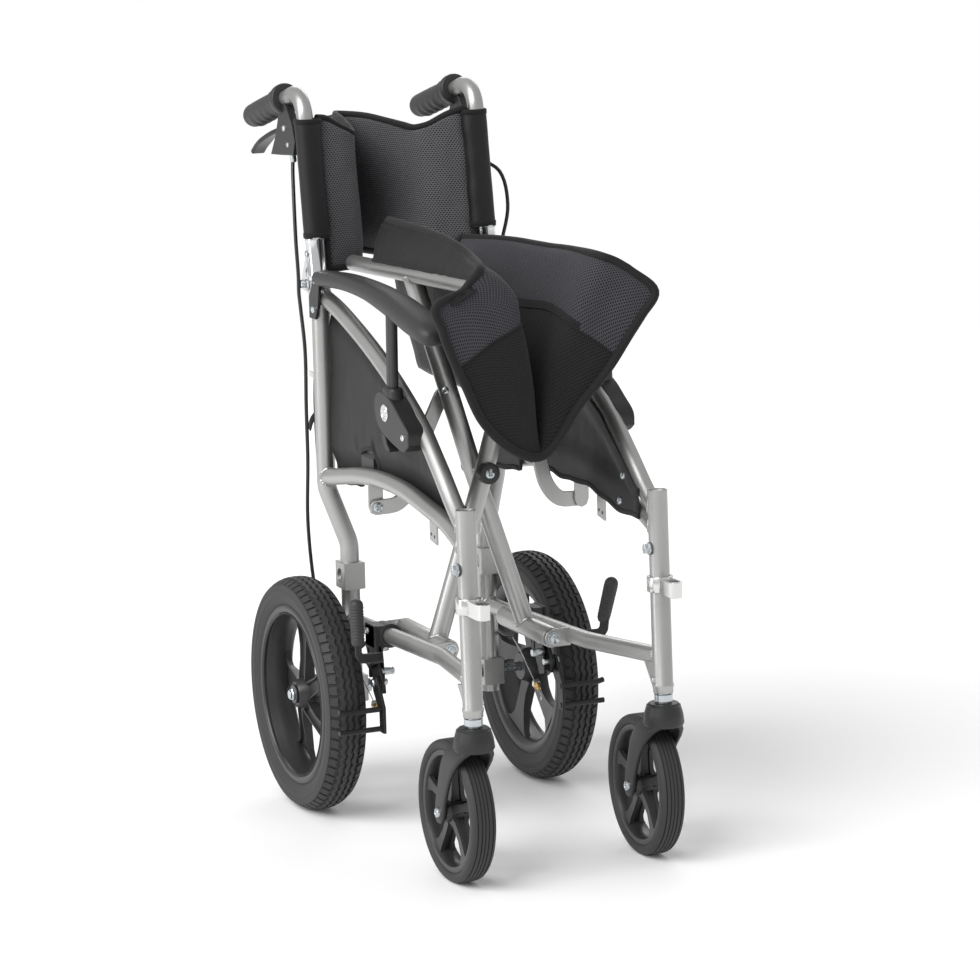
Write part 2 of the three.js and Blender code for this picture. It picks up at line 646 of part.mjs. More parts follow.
function casterWheel(side) {
  const ring = CASTER_R - CASTER_TREAD;
  const hoop = alongX(turned([[ring - 10, -13], [ring, -13], [ring, 13], [ring - 10, 13]], 32));
  const hub = alongX(disc(14, -18, 18, 16));
  const spokes = [];
  for (let i = 0; i < CASTER_SPOKES; i++) {
    const spoke = box([-5, 5], [-5, 5], [10, ring - 6]);
    spokes.push(spoke.rotateX((i / CASTER_SPOKES) * Math.PI * 2));
  }
  const bore = pinX(CASTER_AXLE_R + RUNNING, -40, 40, [0, 0], 16);
  return setCaster(cut(join(hoop, hub, ...spokes), bore).translate(0, CASTER_TRAIL, CASTER_R), side);
}

function casterTyre(side) {
  const seat = CASTER_R - CASTER_TREAD + GAP;
  const half = CASTER_WIDTH / 2;
  const profile = [[seat, -13], [seat + 4, -half], [CASTER_R - 4, -half], [CASTER_R, -half + 6],
    [CASTER_R, half - 6], [CASTER_R - 4, half], [seat + 4, half], [seat, 13]];
  return setCaster(alongX(turned(profile, 32)).translate(0, CASTER_TRAIL, CASTER_R), side);
}

// ---------------------------------------------------------------------------------------------
// Footrest hanger clamp: a band round the leg with an open loop forwards

function footrestClamp(side) {
  const [z0, z1] = FOOTREST_Z;
  const x = side * LEG_X;
  const band = tube([v3(x, legAt(z0), z0), v3(x, legAt(z1), z1)], POST_R + GAP + CLAMP_WALL, { sides: 16 });
  const opening = box([x - 6, x + 6], [-42, -9], [z0 - 1, z1 + 1]);
  const loop = cut(box([x - 9, x + 9], [-47, -8], [z0, z1]), opening);
  return cut(join(band, loop), postRoom(legLine(side)));
}

// ---------------------------------------------------------------------------------------------
// Armrests

const POST_IN = railX(POST_Y) + RAIL_R + POST_CLEARANCE;

function armrest(side) {
  const x = side * (POST_IN - PAD_INSET);
  const pad = plateX([
    [472, 719], [440, 722], [370, 726], [292, 725], [212, 719], [151, 709], [100, 698], [80, 688],
    [78, 676], [88, 668], [150, 676], [208, 688], [292, 700], [370, 704], [440, 702], [472, 699],
  ], x, PAD_WIDTH);
  const slotX = side * (UPRIGHT_X + POST_R + ARM_PLATE / 2 - 1);
  const slotHalf = ARM_PLATE / 2 + 1;
  const slot = box([slotX - slotHalf, slotX + slotHalf], [ARM_PIVOT[0] - 12, 480], [690, 730]);
  const pinRoom = pinX(ARM_PIN_R + RUNNING, slotX - 7, slotX + 7, ARM_PIVOT, 12);
  const postX = side * (POST_IN + POST_WIDTH / 2);
  const post = plateX([[181, 690], [203, 692], [205, 577], [185, 577]], postX, POST_WIDTH);
  return cut(join(pad, post), slot, pinRoom);
}

// The clamp grips the outside of the top rail and holds the post's foot in a pocket
function armrestClamp(side) {
  const inside = railX(POST_Y) + RAIL_R - 6.6;
  const outside = POST_IN + POST_WIDTH + 5;
  const block = plateX([
    [122, 540], [124, 556], [150, 574], [182, 591], [212, 596], [227, 589], [231, 573], [224, 556],
    [205, 545], [160, 533], [138, 531],
  ], (side * (inside + outside)) / 2, outside - inside);
  const room = 1.5;
  const pocketX = [side * (POST_IN - room), side * (POST_IN + POST_WIDTH + room)];
  const pocket = box(pocketX, [182, 208], [575.5, 610]);
  return cut(block, curvedTube(topRailLine(side), RAIL_R + GAP), pocket);
}

// The release under the clamp, pressed up to free the post
function armrestTrigger(side) {
  const x = side * (POST_IN + POST_WIDTH / 2);
  const outline = [[217, 544], [219, 539], [208, 524], [196, 521], [194, 525], [203, 531], [210, 542]];
  return plateX(outline, x, 14);
}

// ---------------------------------------------------------------------------------------------
// Parking brakes

function brakeBracket(side) {
  const line = [v3(side * STAY_X, STAY_Y, BOTTOM_RAIL_REAR_Z), v3(side * STAY_X, ...BOTTOM_RAIL_KNEE)];
  const rail = tube(line, RAIL_R + GAP);
  const face = BRAKE_X + BRAKE_PLATE / 2;
  const shoe = cut(box([side * STAY_X, side * face], [334, 366], [235, 269]), rail);
  const plate = plateX([
    [334, 268], [366, 268], [366, 236], [352, 210], [334, 182], [314, 182], [311, 200], [326, 222],
  ], side * BRAKE_X, BRAKE_PLATE);
  const pinEnds = [side * BRAKE_X, side * (BRAKE_X + 13)];
  const pins = [LEVER_PIVOT, STOP_PIVOT].map((at) => pinX(BRAKE_PIN_R, ...pinEnds, at, 12));
  return join(shoe, plate, ...pins);
}

function brakeLever(side) {
  const [y, z] = LEVER_PIVOT;
  const plane = side * LEVER_PLANE;
  const grip = side === RIGHT ? [[268, 262], [271, 322]] : [[262, 258], [231, 320]];
  const [[y0, z0], [y1, z1]] = grip;
  const out = side * LEVER_GRIP_X;
  const line = [v3(plane, y - 4, z + 2), v3(plane, y - 44, z + 14), v3(out, y0, z0 - 18), v3(out, y1, z1)];
  const bar = tube(line, LEVER_BAR_R, { bend: 9, sides: 8 });
  const handle = tube([v3(out, y0, z0), v3(out, y1, z1)], 9, { sides: 10 });
  const eye = pinX(10, plane - 2.5, plane + 2.5, LEVER_PIVOT, 12);
  const hole = pinX(BRAKE_PIN_R + RUNNING, plane - 9, plane + 9, LEVER_PIVOT, 12);
  return cut(join(bar, handle, eye), hole);
}

function brakeStop(side) {
  const plane = side * LEVER_PLANE;
  const plate = plateX([
    [331, 194], [327, 204], [317, 205], [310, 196], [STOP_ROD_Y - 7, 168], [STOP_ROD_Y - 7, 134],
    [STOP_ROD_Y + 7, 134], [STOP_ROD_Y + 8, 160], [327, 184],
  ], plane, BRAKE_PLATE);
  const reach = side * (WHEEL_X + TYRE_WIDTH / 2 - 4);
  const rods = STOP_ROD_Z.map((z) => pinX(STOP_ROD_R, plane, reach, [STOP_ROD_Y, z], 10));
  const hole = pinX(BRAKE_PIN_R + RUNNING, plane - 9, plane + 9, STOP_PIVOT, 12);
  return cut(join(plate, ...rods), hole);
}

// ---------------------------------------------------------------------------------------------
// Push handles

const caneLean = (CANE_BEND[0] - CANE_FOOT[0]) / (CANE_BEND[1] - CANE_FOOT[1]);
const caneAt = (z) => CANE_FOOT[0] + caneLean * (z - CANE_FOOT[1]);
const handleAngle = Math.atan2(CANE_BEND[1] - HANDLE_END[1], HANDLE_END[0] - CANE_BEND[0]);

function cane(side) {
  const x = side * CANE_X;
  const bar = tube([v3(x, ...CANE_FOOT), v3(x, ...CANE_BEND), v3(x, ...HANDLE_END)], CANE_R, { bend: 34 });
  const sleeve = tube([v3(x, ...CANE_FOOT), v3(x, caneAt(758), 758)], CANE_R + 1.8);
  const [y, z] = BACK_HINGE;
  const outline = [
    [500, 712], [y - 10, z + 5], [y - 10, z - 4], [y - 3, z - 10], [y + 6, z - 9], [y + 10, z],
    [y + 9, z + 8], [caneAt(748) + 10, 748], [caneAt(748), 748],
  ];
  const offset = HINGE_PLATE / 2 + GAP + 1.5;
  const cheeks = [-offset, offset].map((shift) => plateX(outline, side * UPRIGHT_X + shift, 3));
  const hole = pinX(HINGE_PIN_R + RUNNING, x - 20, x + 20, BACK_HINGE, 12);
  return cut(join(bar, sleeve, ...cheeks), hole);
}

// Turn a solid made along Y from the origin onto the handle, starting a distance back from its corner
function ontoHandle(geometry, side, from) {
  geometry.rotateX(-handleAngle);
  const y = CANE_BEND[0] + from * Math.cos(handleAngle);
  return geometry.translate(side * CANE_X, y, CANE_BEND[1] - from * Math.sin(handleAngle));
}

const handleLength = Math.hypot(HANDLE_END[0] - CANE_BEND[0], HANDLE_END[1] - CANE_BEND[1]);
const gripStart = handleLength + 5 - GRIP_LENGTH;

function handGrip(side) {
  const inner = CANE_R + GAP;
  const bottom = GRIP_LENGTH - 5 + GAP;
  const sleeve = turned([
    [inner, 0], [GRIP_R + 2, 0], [GRIP_R + 2, 5], [GRIP_R, 9], [GRIP_R, GRIP_LENGTH - 6],
    [GRIP_R - 5, GRIP_LENGTH], [0, GRIP_LENGTH], [0, bottom], [inner, bottom],
  ], 16);
  return ontoHandle(sleeve, side, gripStart);
}

// Brake perch: a collar on the handle with the housing that hangs from it beside the cane
function brakePerch(side) {
  const collar = ontoHandle(disc(CANE_R + 8, 0, 13, 16), side, gripStart - 14);
  const x = side * PERCH_X;
  const housing = plateX([
    [584, 930], [600, 926], [610, 902], [648, 855], [556, 863], [548, 880], [562, 905],
  ], x, 12);
  const [y, z] = ATTENDANT_PIVOT;
  const pocket = box([x - 3.5, x + 3.5], [y - 12, 700], [z - 17, z + 11]);
  const pin = pinX(ATTENDANT_PIN_R, x - 5, x + 5, ATTENDANT_PIVOT, 10);
  const handle = tube([v3(side * CANE_X, ...CANE_BEND), v3(side * CANE_X, ...HANDLE_END)], CANE_R + GAP);
  const gripRoom = ontoHandle(disc(GRIP_R + 2 + GAP, 0, 30, 20), side, gripStart - GAP);
  return join(cut(join(collar, housing), handle, pocket, gripRoom), pin);
}

function attendantLever(side) {
  const x = side * PERCH_X;
  const [y, z] = ATTENDANT_PIVOT;
  const bar = plateX([
    [y - 7, z - 2], [y - 4, z + 6], [y + 6, z + 7], [640, 891], [668, 882], [690, 871], [708, 860],
    [704, 853],
    [684, 861], [664, 871], [638, 880], [y + 6, z - 8], [y - 4, z - 7],
  ], x, 6);
  return cut(bar, pinX(ATTENDANT_PIN_R + RUNNING, x - 9, x + 9, ATTENDANT_PIVOT, 10));
}

// The brake cable, in two lengths that meet beside the back hinge
function upperCable(side) {
  const [y, z] = BACK_HINGE;
  const right = [v3(-124, 573, 858), v3(-127, 567, 844), v3(-134, 548, 800), v3(-138, 535, 750)];
  const left = [v3(126, 573, 858), v3(136, 568, 846), v3(164, 548, 825), v3(170, 536, 780), v3(158, y, 735)];
  const end = side === RIGHT ? v3(-138, y, z + CABLE_SPLIT) : v3(150, y, z + CABLE_SPLIT);
  const points = [...(side === RIGHT ? right : left), end];
  return curvedTube(points, CABLE_R, { steps: 16, sides: 8 });
}

function lowerCable(side) {
  const [y, z] = BACK_HINGE;
  const start = side === RIGHT ? 138 : 150;
  const points = [
    [start, y, z - CABLE_SPLIT], [start, y - 4, z - 30], [138, 514, 609], [137, 519, 530],
    [136, 522, 460], [130, 545, 373], [122, 552, 291], [120, 530, 232], [119, 470, 205],
    [116, 410, 222], [113, 368, 246],
  ];
  return curvedTube(points.map(([x, py, pz]) => v3(side * x, py, pz)), CABLE_R, { steps: 40, sides: 8 });
}

// ---------------------------------------------------------------------------------------------
// Soft parts, as plain solids in their folded places

// Half of the seat, standing along the rail on this side and hanging inwards, clear of the brace
// tube outside it. Its front corner folds outwards as a flap.
function seatHalf(side) {
  const slope = SEAT_RAIL_X / (SEAT_RAIL_Z - PIVOT_Z);
  const across = Math.hypot(1, slope);
  const outer = (z) => (z - PIVOT_Z) * slope - BRACE_R * across - SEAT_CLEARANCE;
  const inner = (z) => outer(z) - SEAT_THICKNESS * across;
  const strip = (places, y0, y1) => plateY(places.map(([x, z]) => [side * x, z]), (y0 + y1) / 2, y1 - y0);
  const [top, shoulder] = SEAT_Z;
  const footReach = (BRACE_R + SEAT_THICKNESS) * across + SEAT_CLEARANCE + SEAT_MIDDLE;
  const foot = PIVOT_Z + footReach / slope;
  const [front, fold, rear] = SEAT_Y;
  const main = strip([
    [outer(shoulder), shoulder], [59, top], [41, top], [inner(shoulder), shoulder],
    [inner(foot), foot], [outer(foot), foot],
  ], fold, rear);
  const nose = strip([[62, 748], [44, 748], [2, 560], [2, 522], [9, 520], [30, 585]], fold, BRACE_Y.b - 25);
  const flap = strip([
    [62, 756], [92, 736], [104, 720], [122, 680], [112, 630], [84, 572], [40, 536], [2, 522],
    [2, 600], [30, 745],
  ], front, fold + 1);
  return join(main, nose, flap);
}

// Half of the back, turned about the cane's own axis, which it follows as it leans. It runs in from
// the cane and folds rearwards.
function backHalf(side) {
  const line = BACK_LINE.map(([x, y]) => [side * x, y - caneAt(BACK_Z[1]) + caneAt(BACK_Z[0])]);
  const shape = outlineShape(barOutline(line, BACK_THICKNESS / 2, 10));
  const slab = new THREE.ExtrudeGeometry(shape, { depth: BACK_Z[1] - BACK_Z[0], bevelEnabled: false });
  const lean = new THREE.Matrix4().makeShear(0, 0, 0, 0, 0, caneLean);
  return slab.applyMatrix4(lean).translate(0, 0, BACK_Z[0]);
}

// The clothing guard fills the frame between the two rails and the upright
function skirtGuard(side) {
  const x = side * (UPRIGHT_X + 1);
  const outline = [...TOP_RAIL, [22, 456], [22, 440], ...[...SEAT_SIDE_RAIL].reverse()];
  const panel = plateX(outline, x, GUARD_THICKNESS);
  const clear = RAIL_R + 0.9;
  return cut(panel, postRoom(uprightLine(side)), postRoom(legLine(side)),
    curvedTube(topRailLine(side), clear), curvedTube(seatSideRailLine(side), clear));
}

// ---------------------------------------------------------------------------------------------
// Assembly

for (const side of [RIGHT, LEFT]) {
  const name = (piece) => `${side === RIGHT ? 'right' : 'left'}_${piece}`;
  add(name('front_leg'), frontLeg(side), silver);
  add(name('rear_upright'), rearUpright(side), silver);
  add(name('top_rail'), topRail(side), silver);
  add(name('seat_side_rail'), seatSideRail(side), silver);
  add(name('bottom_rail'), bottomRail(side), silver);
  add(name('footrest_clamp'), footrestClamp(side), bright);
  add(name('fold_link'), foldLink(side), silver);
  add(name('rail_saddle'), railSaddle(side), black);
  add(name('skirt_guard'), skirtGuard(side), nylon);
  add(name('wheel_rim'), wheelRim(side), black);
  add(name('rear_tyre'), rearTyre(side), rubber);
  add(name('rear_axle'), rearAxle(side), bright);
  add(name('caster_fork'), casterFork(side), black);
  add(name('caster_wheel'), casterWheel(side), black);
  add(name('caster_tyre'), casterTyre(side), rubber);
  add(name('armrest'), armrest(side), grip);
  add(name('armrest_clamp'), armrestClamp(side), black);
  add(name('armrest_trigger'), armrestTrigger(side), black);
  add(name('brake_bracket'), brakeBracket(side), black);
  add(name('brake_lever'), brakeLever(side), black);
  add(name('brake_stop'), brakeStop(side), black);
  add(name('cane'), cane(side), silver);
  add(name('hand_grip'), handGrip(side), grip);
  add(name('brake_perch'), brakePerch(side), black);
  add(name('attendant_lever'), attendantLever(side), black);
  add(name('upper_cable'), upperCable(side), black);
  add(name('lower_cable'), lowerCable(side), black);
  add(name('back_half'), backHalf(side), mesh);
  add(name('seat_half'), seatHalf(side), mesh);
}
add('brace_a', braceA(), silver);
add('brace_b', braceB(), silver);

export default chair;
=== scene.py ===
# A folding attendant-propelled wheelchair, standing folded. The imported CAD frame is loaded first, and
# every piece below takes its place from it. Lengths are given in millimetres, with y counted back
# from the front legs, and turned into metres by place().
import json
import math
import random

import bmesh
import bpy
from mathutils import Matrix, Vector, noise


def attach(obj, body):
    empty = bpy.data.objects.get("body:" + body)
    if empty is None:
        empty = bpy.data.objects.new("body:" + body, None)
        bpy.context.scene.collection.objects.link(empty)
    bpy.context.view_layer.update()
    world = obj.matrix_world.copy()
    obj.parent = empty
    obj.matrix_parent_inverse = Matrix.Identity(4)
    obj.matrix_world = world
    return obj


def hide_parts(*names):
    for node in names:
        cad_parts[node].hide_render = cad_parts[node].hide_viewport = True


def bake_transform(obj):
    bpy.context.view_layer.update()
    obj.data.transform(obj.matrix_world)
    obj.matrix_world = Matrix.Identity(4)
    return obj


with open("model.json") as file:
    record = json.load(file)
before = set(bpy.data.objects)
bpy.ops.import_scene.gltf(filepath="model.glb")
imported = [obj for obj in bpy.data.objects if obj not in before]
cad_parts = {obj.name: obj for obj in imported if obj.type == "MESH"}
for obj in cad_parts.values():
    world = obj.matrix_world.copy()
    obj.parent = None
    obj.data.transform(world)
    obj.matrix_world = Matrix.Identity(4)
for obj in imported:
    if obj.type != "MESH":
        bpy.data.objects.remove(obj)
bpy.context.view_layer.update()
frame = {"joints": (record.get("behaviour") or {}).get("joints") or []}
joints = {joint["name"]: joint for joint in frame["joints"]}
leg_y = joints["right_caster_swivel"]["pos_m"][1]


def place(x, y, z):
    return Vector((x / 1000, y / 1000 + leg_y, z / 1000))


# --- Camera -----------------------------------------------------------------------------------
# A long lens from the chair's front right, a little above the seat, with the slight tilt of a
# hand-set tripod.
azimuth, elevation, roll = math.radians(-23.606), math.radians(10.681), math.radians(-1.320)
level_part = math.cos(elevation)
back = Vector((math.sin(azimuth) * level_part, -math.cos(azimuth) * level_part, math.sin(elevation)))
level = Vector((0, 0, 1)).cross(back).normalized()
upright = back.cross(level)
cam_right = math.cos(roll) * level + math.sin(roll) * upright
cam_up = math.cos(roll) * upright - math.sin(roll) * level
camera = bpy.data.objects.new("camera", bpy.data.cameras.new("camera"))
camera_turn = Matrix((cam_right, cam_up, back)).transposed().to_4x4()
camera.matrix_world = Matrix.Translation(place(-1888.4, -4091.9, 1343.1)) @ camera_turn
camera.data.lens = 138.0
camera.data.sensor_width = 36.0
bpy.context.scene.collection.objects.link(camera)
bpy.context.scene.camera = camera

# --- Floor and light --------------------------------------------------------------------------
# A plain white studio floor under one broad soft key high on the left, with a tall strip beside the
# chair and another behind it that put highlights along the tubes.


def surface(name, color, roughness=0.5, metallic=0.0, **sockets):
    """A Principled material, returned with its node tree and shader."""
    material = bpy.data.materials.new(name)
    material.use_nodes = True
    shader = material.node_tree.nodes["Principled BSDF"]
    shader.inputs["Base Color"].default_value = (*color, 1)
    shader.inputs["Roughness"].default_value = roughness
    shader.inputs["Metallic"].default_value = metallic
    for socket, value in sockets.items():
        shader.inputs[socket.replace("_", " ").title().replace("Ior", "IOR")].default_value = value
    return material


floor_half = 6.0
floor_mesh = bpy.data.meshes.new("floor")
floor_mesh.from_pydata(
    [(-floor_half, -floor_half, 0), (floor_half, -floor_half, 0), (floor_half, floor_half, 0),
    (-floor_half, floor_half, 0)],
    [], [(0, 1, 2, 3)])
floor = bpy.data.objects.new("floor", floor_mesh)
bpy.context.scene.collection.objects.link(floor)
floor_mesh.materials.append(surface("studio_white", (0.93, 0.93, 0.93), 0.9))

# The world shows white behind the chair, and lights it more softly than it shows
world = bpy.data.worlds.new("studio")
world.use_nodes = True
sky = world.node_tree.nodes["Background"]
sky.inputs["Color"].default_value = (1, 1, 1, 1)
seen = world.node_tree.nodes.new("ShaderNodeLightPath")
level_of = world.node_tree.nodes.new("ShaderNodeMapRange")
level_of.inputs["To Min"].default_value, level_of.inputs["To Max"].default_value = 0.62, 1.0
world.node_tree.links.new(seen.outputs["Is Camera Ray"], level_of.inputs["Value"])
world.node_tree.links.new(level_of.outputs["Result"], sky.inputs["Strength"])
bpy.context.scene.world = world
bpy.context.scene.view_settings.view_transform = "Standard"


def lamp(name, kind, position, power, **settings):
    light = bpy.data.lights.new(name, kind)
    light.energy = power
    for setting, value in settings.items():
        setattr(light, setting, value)
    made = bpy.data.objects.new(name, light)
    aim = Vector((0, 0, 0.5)) - Vector(position)
    made.matrix_world = Matrix.Translation(position) @ aim.to_track_quat("-Z", "Y").to_matrix().to_4x4()
    bpy.context.scene.collection.objects.link(made)


lamp("key", "SUN", (-2.6, -1.1, 3.0), 2.3, angle=math.radians(42))
lamp("side_strip", "AREA", (-3.2, 0.4, 1.4), 26, shape="RECTANGLE", size=0.9, size_y=2.4)
lamp("rim", "AREA", (1.6, 2.8, 2.2), 20, shape="RECTANGLE", size=2.2, size_y=0.8)


# --- Brake cables -----------------------------------------------------------------------------
# Two black sheathed cables, 5 mm across. Each leaves the brake perch under a push handle, runs down
# outside the back hinge and behind the upright, and comes forward to the parking brake.


def smooth_line(points, per_gap=8):
    """Points on a centripetal Catmull-Rom curve through the given ones."""
    points = [Vector(p) for p in points]
    ends = [points[0] * 2 - points[1], *points, points[-1] * 2 - points[-2]]
    line = []
    for a, b, c, d in zip(ends, ends[1:], ends[2:], ends[3:]):
        t1 = (b - a).length ** 0.5
        t2 = t1 + (c - b).length ** 0.5
        t3 = t2 + (d - c).length ** 0.5
        for k in range(per_gap):
            t = t1 + (t2 - t1) * k / per_gap
            ab = a.lerp(b, t / t1)
            bc = b.lerp(c, (t - t1) / (t2 - t1))
            cd = c.lerp(d, (t - t2) / (t3 - t2))
            line.append(ab.lerp(bc, t / t2).lerp(bc.lerp(cd, (t - t1) / (t3 - t1)), (t - t1) / (t2 - t1)))
    return [*line, points[-1]]


def cross_frames(line, side=None):
    """Two cross directions at each point of a line, carried along it without twist."""
    line = [Vector(p) for p in line]
    tangents = [(b - a).normalized() for a, b in zip(line[:1] + line[:-1], line[1:] + line[-1:])]
    side = Vector(side) if side else tangents[0].orthogonal()
    pairs = []
    for tangent in tangents:
        side = (side - tangent * side.dot(tangent)).normalized()
        pairs.append((side, tangent.cross(side)))
    return pairs


def grid(rows, columns, closed=True):
    wrap = columns if closed else columns - 1
    return [(r * columns + c, r * columns + (c + 1) % columns, (r + 1) * columns + (c + 1) % columns,
        (r + 1) * columns + c)
            for r in range(rows - 1) for c in range(wrap)]


def loft(rings, caps=True):
    """A skin over rings of points, each ring with the same number of them."""
    columns = len(rings[0])
    faces = grid(len(rings), columns)
    if caps:
        last = (len(rings) - 1) * columns
        faces += [tuple(range(columns))[::-1], tuple(last + k for k in range(columns))]
    return [v for ring in rings for v in ring], faces


def bar(line, radius, sides=24, caps=True):
    """A round bar along a line. radius is one number, or one for each point."""
    radii = radius if isinstance(radius, (list, tuple)) else [radius] * len(line)
    turns = [2 * math.pi * k / sides for k in range(sides)]
    return loft([[Vector(c) + (u * math.cos(a) + w * math.sin(a)) * r for a in turns]
                 for c, (u, w), r in zip(line, cross_frames(line), radii)], caps)


def joined(*parts):
    vertices, faces = [], []
    for more, its_faces in parts:
        start = len(vertices)
        vertices += more
        faces += [tuple(start + i for i in face) for face in its_faces]
    return vertices, faces


def new_object(name, part, material, crease=35):
    """A mesh object from millimetres, with doubles merged and its faces pointing outwards."""
    mesh = bpy.data.meshes.new(name)
    mesh.from_pydata([tuple(place(*v)) for v in part[0]], [], part[1])
    work = bmesh.new()
    work.from_mesh(mesh)
    bmesh.ops.remove_doubles(work, verts=work.verts, dist=2e-6)
    bmesh.ops.recalc_face_normals(work, faces=work.faces)
    work.to_mesh(mesh)
    work.free()
    mesh.shade_smooth()
    mesh.set_sharp_from_angle(angle=math.radians(crease))
    mesh.materials.append(material)
    made = bpy.data.objects.new(name, mesh)
    bpy.context.scene.collection.objects.link(made)
    return made


def fit(name, part, material, body, stands_for=(), edge=0.0, crease=35):
    """A finished piece: its edges rounded by edge millimetres, riding on a body of the chair."""
    made = new_object(name, part, material, crease)
    if edge:
        rounding = made.modifiers.new("edges", "BEVEL")
        rounding.width, rounding.segments, rounding.limit_method = edge / 1000, 2, "ANGLE"
        rounding.angle_limit, rounding.harden_normals = math.radians(crease), True
    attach(made, body)
    if stands_for:
        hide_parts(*stands_for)
    return made


def node_in(tree, kind, **sockets):
    """A node with its unlinked sockets set, each given as s0=, s1= and so on, or as a property."""
    node = tree.nodes.new(kind)
    for key, value in sockets.items():
        if key[0] == "s" and key[1:].isdigit():
            socket = node.inputs[int(key[1:])]
            if isinstance(value, bpy.types.NodeSocket):
                tree.links.new(value, socket)
            else:
                socket.default_value = value
        else:
            setattr(node, key, value)
    return node


def effect_group(name, inputs, outputs):
    """An empty shader group with named sockets, and its input and output nodes."""
    tree = bpy.data.node_groups.new(name, "ShaderNodeTree")
    for label, kind, value in inputs:
        tree.interface.new_socket(label, in_out="INPUT",
            socket_type=f"NodeSocket{kind}").default_value = value
    for label, kind in outputs:
        tree.interface.new_socket(label, in_out="OUTPUT", socket_type=f"NodeSocket{kind}")
    return tree, tree.nodes.new("NodeGroupInput").outputs, tree.nodes.new("NodeGroupOutput").inputs


# Fine texture of a moulded, coated or plated surface, with a slow drift in its colour and gloss
grain, given, put = effect_group(
    "grain",
    [("Dark", "Color", (0, 0, 0, 1)), ("Light", "Color", (1, 1, 1, 1)), ("Grain Scale", "Float", 900.0),
     ("Rough Low", "Float", 0.3), ("Rough High", "Float", 0.5)],
    [("Color", "Color"), ("Roughness", "Float"), ("Height", "Float")])
spot = node_in(grain, "ShaderNodeTexCoord").outputs["Object"]
drift = node_in(grain, "ShaderNodeTexNoise", s0=spot, s2=14.0, s3=3.0)
fine = node_in(grain, "ShaderNodeTexNoise", s0=spot, s2=given["Grain Scale"], s3=4.0, s4=0.6)
blend_in = node_in(grain, "ShaderNodeMath", operation="MULTIPLY_ADD", s0=fine.outputs[0], s1=0.5, s2=0.0)
both = node_in(grain, "ShaderNodeMath", operation="MULTIPLY_ADD", s0=drift.outputs[0], s1=0.5,
    s2=blend_in.outputs[0])
tint = node_in(grain, "ShaderNodeMix", data_type="RGBA")
grain.links.new(both.outputs[0], tint.inputs[0])
grain.links.new(given["Dark"], tint.inputs[6])
grain.links.new(given["Light"], tint.inputs[7])
grain.links.new(tint.outputs[2], put["Color"])
rough = node_in(grain, "ShaderNodeMapRange", s0=both.outputs[0], s1=0.3, s2=0.7, s3=given["Rough Low"],
    s4=given["Rough High"])
grain.links.new(rough.outputs[0], put["Roughness"])
grain.links.new(fine.outputs[0], put["Height"])


def coated(name, dark, light, rough_range, metallic=0.0, grain_scale=900.0, bump=0.15, depth=0.0002,
    **sockets):
    """A Principled material whose colour, gloss and surface come from the grain group."""
    material = surface(name, light, rough_range[0], metallic, **sockets)
    tree = material.node_tree
    shader = tree.nodes["Principled BSDF"]
    texture = node_in(tree, "ShaderNodeGroup", node_tree=grain, s0=(*dark, 1), s1=(*light, 1),
        s2=grain_scale, s3=rough_range[0], s4=rough_range[1])
    relief = node_in(tree, "ShaderNodeBump", s0=bump, s1=depth)
    tree.links.new(texture.outputs["Height"], relief.inputs["Height"])
    tree.links.new(texture.outputs["Color"], shader.inputs["Base Color"])
    tree.links.new(texture.outputs["Roughness"], shader.inputs["Roughness"])
    tree.links.new(relief.outputs["Normal"], shader.inputs["Normal"])
    return material


sheath_black = coated("cable_sheath", (0.008, 0.008, 0.009), (0.02, 0.02, 0.021), (0.3, 0.45))
hinge_y, hinge_z = 530, 695
lower_route = [(138, 514, 609), (137, 519, 530), (136, 522, 460), (130, 545, 373), (122, 552, 291),
    (120, 530, 232),
               (119, 470, 205), (116, 410, 222), (113, 368, 246)]
upper_route = {
    "right": [(124, 573, 858), (127, 567, 844), (134, 548, 800), (138, 535, 750), (138, 530, 707),
    (138, 530, 683), (138, 526, 665)],
    "left": [(126, 573, 858), (136, 568, 846), (164, 548, 825), (170, 536, 780), (158, 530, 735),
    (150, 530, 707), (150, 530, 683),
             (150, 526, 665)],
}
sides = {"right": -1, "left": 1}
for side, k in sides.items():
    route = smooth_line([(k * x, y, z) for x, y, z in upper_route[side] + lower_route], 6)
    cable = new_object(f"{side}_brake_cable", bar(route, 2.5, 12), sheath_black)
    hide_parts(f"{side}_upper_cable", f"{side}_lower_cable")
    across = k * upper_route[side][-2][0]
    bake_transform(cable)


# --- Side frames ------------------------------------------------------------------------------
# Each side is a welded frame of silver powder-coated aluminium tube: a front leg, a cranked rear
# upright with two axle blocks, and three curved rails. Weld beads show where the rails meet the posts.

silver = coated("satin_silver", (0.36, 0.36, 0.355), (0.50, 0.50, 0.49), (0.3, 0.42), metallic=0.88,
    grain_scale=700.0, bump=0.22)
cut_metal = coated("bright_metal", (0.6, 0.6, 0.59), (0.82, 0.82, 0.81), (0.12, 0.28), metallic=1.0,
    grain_scale=300.0, bump=0.1)
zinc = coated("zinc_plate", (0.42, 0.45, 0.47), (0.66, 0.70, 0.72), (0.2, 0.36), metallic=1.0,
    grain_scale=500.0)
black_plastic = coated("black_plastic", (0.011, 0.011, 0.012), (0.024, 0.024, 0.025), (0.36, 0.5),
    grain_scale=1100.0, bump=0.25)
post_r, rail_r = 12.6, 11.0
leg_x, upright_x, stay_x = 129.4, 123.5, 99.6


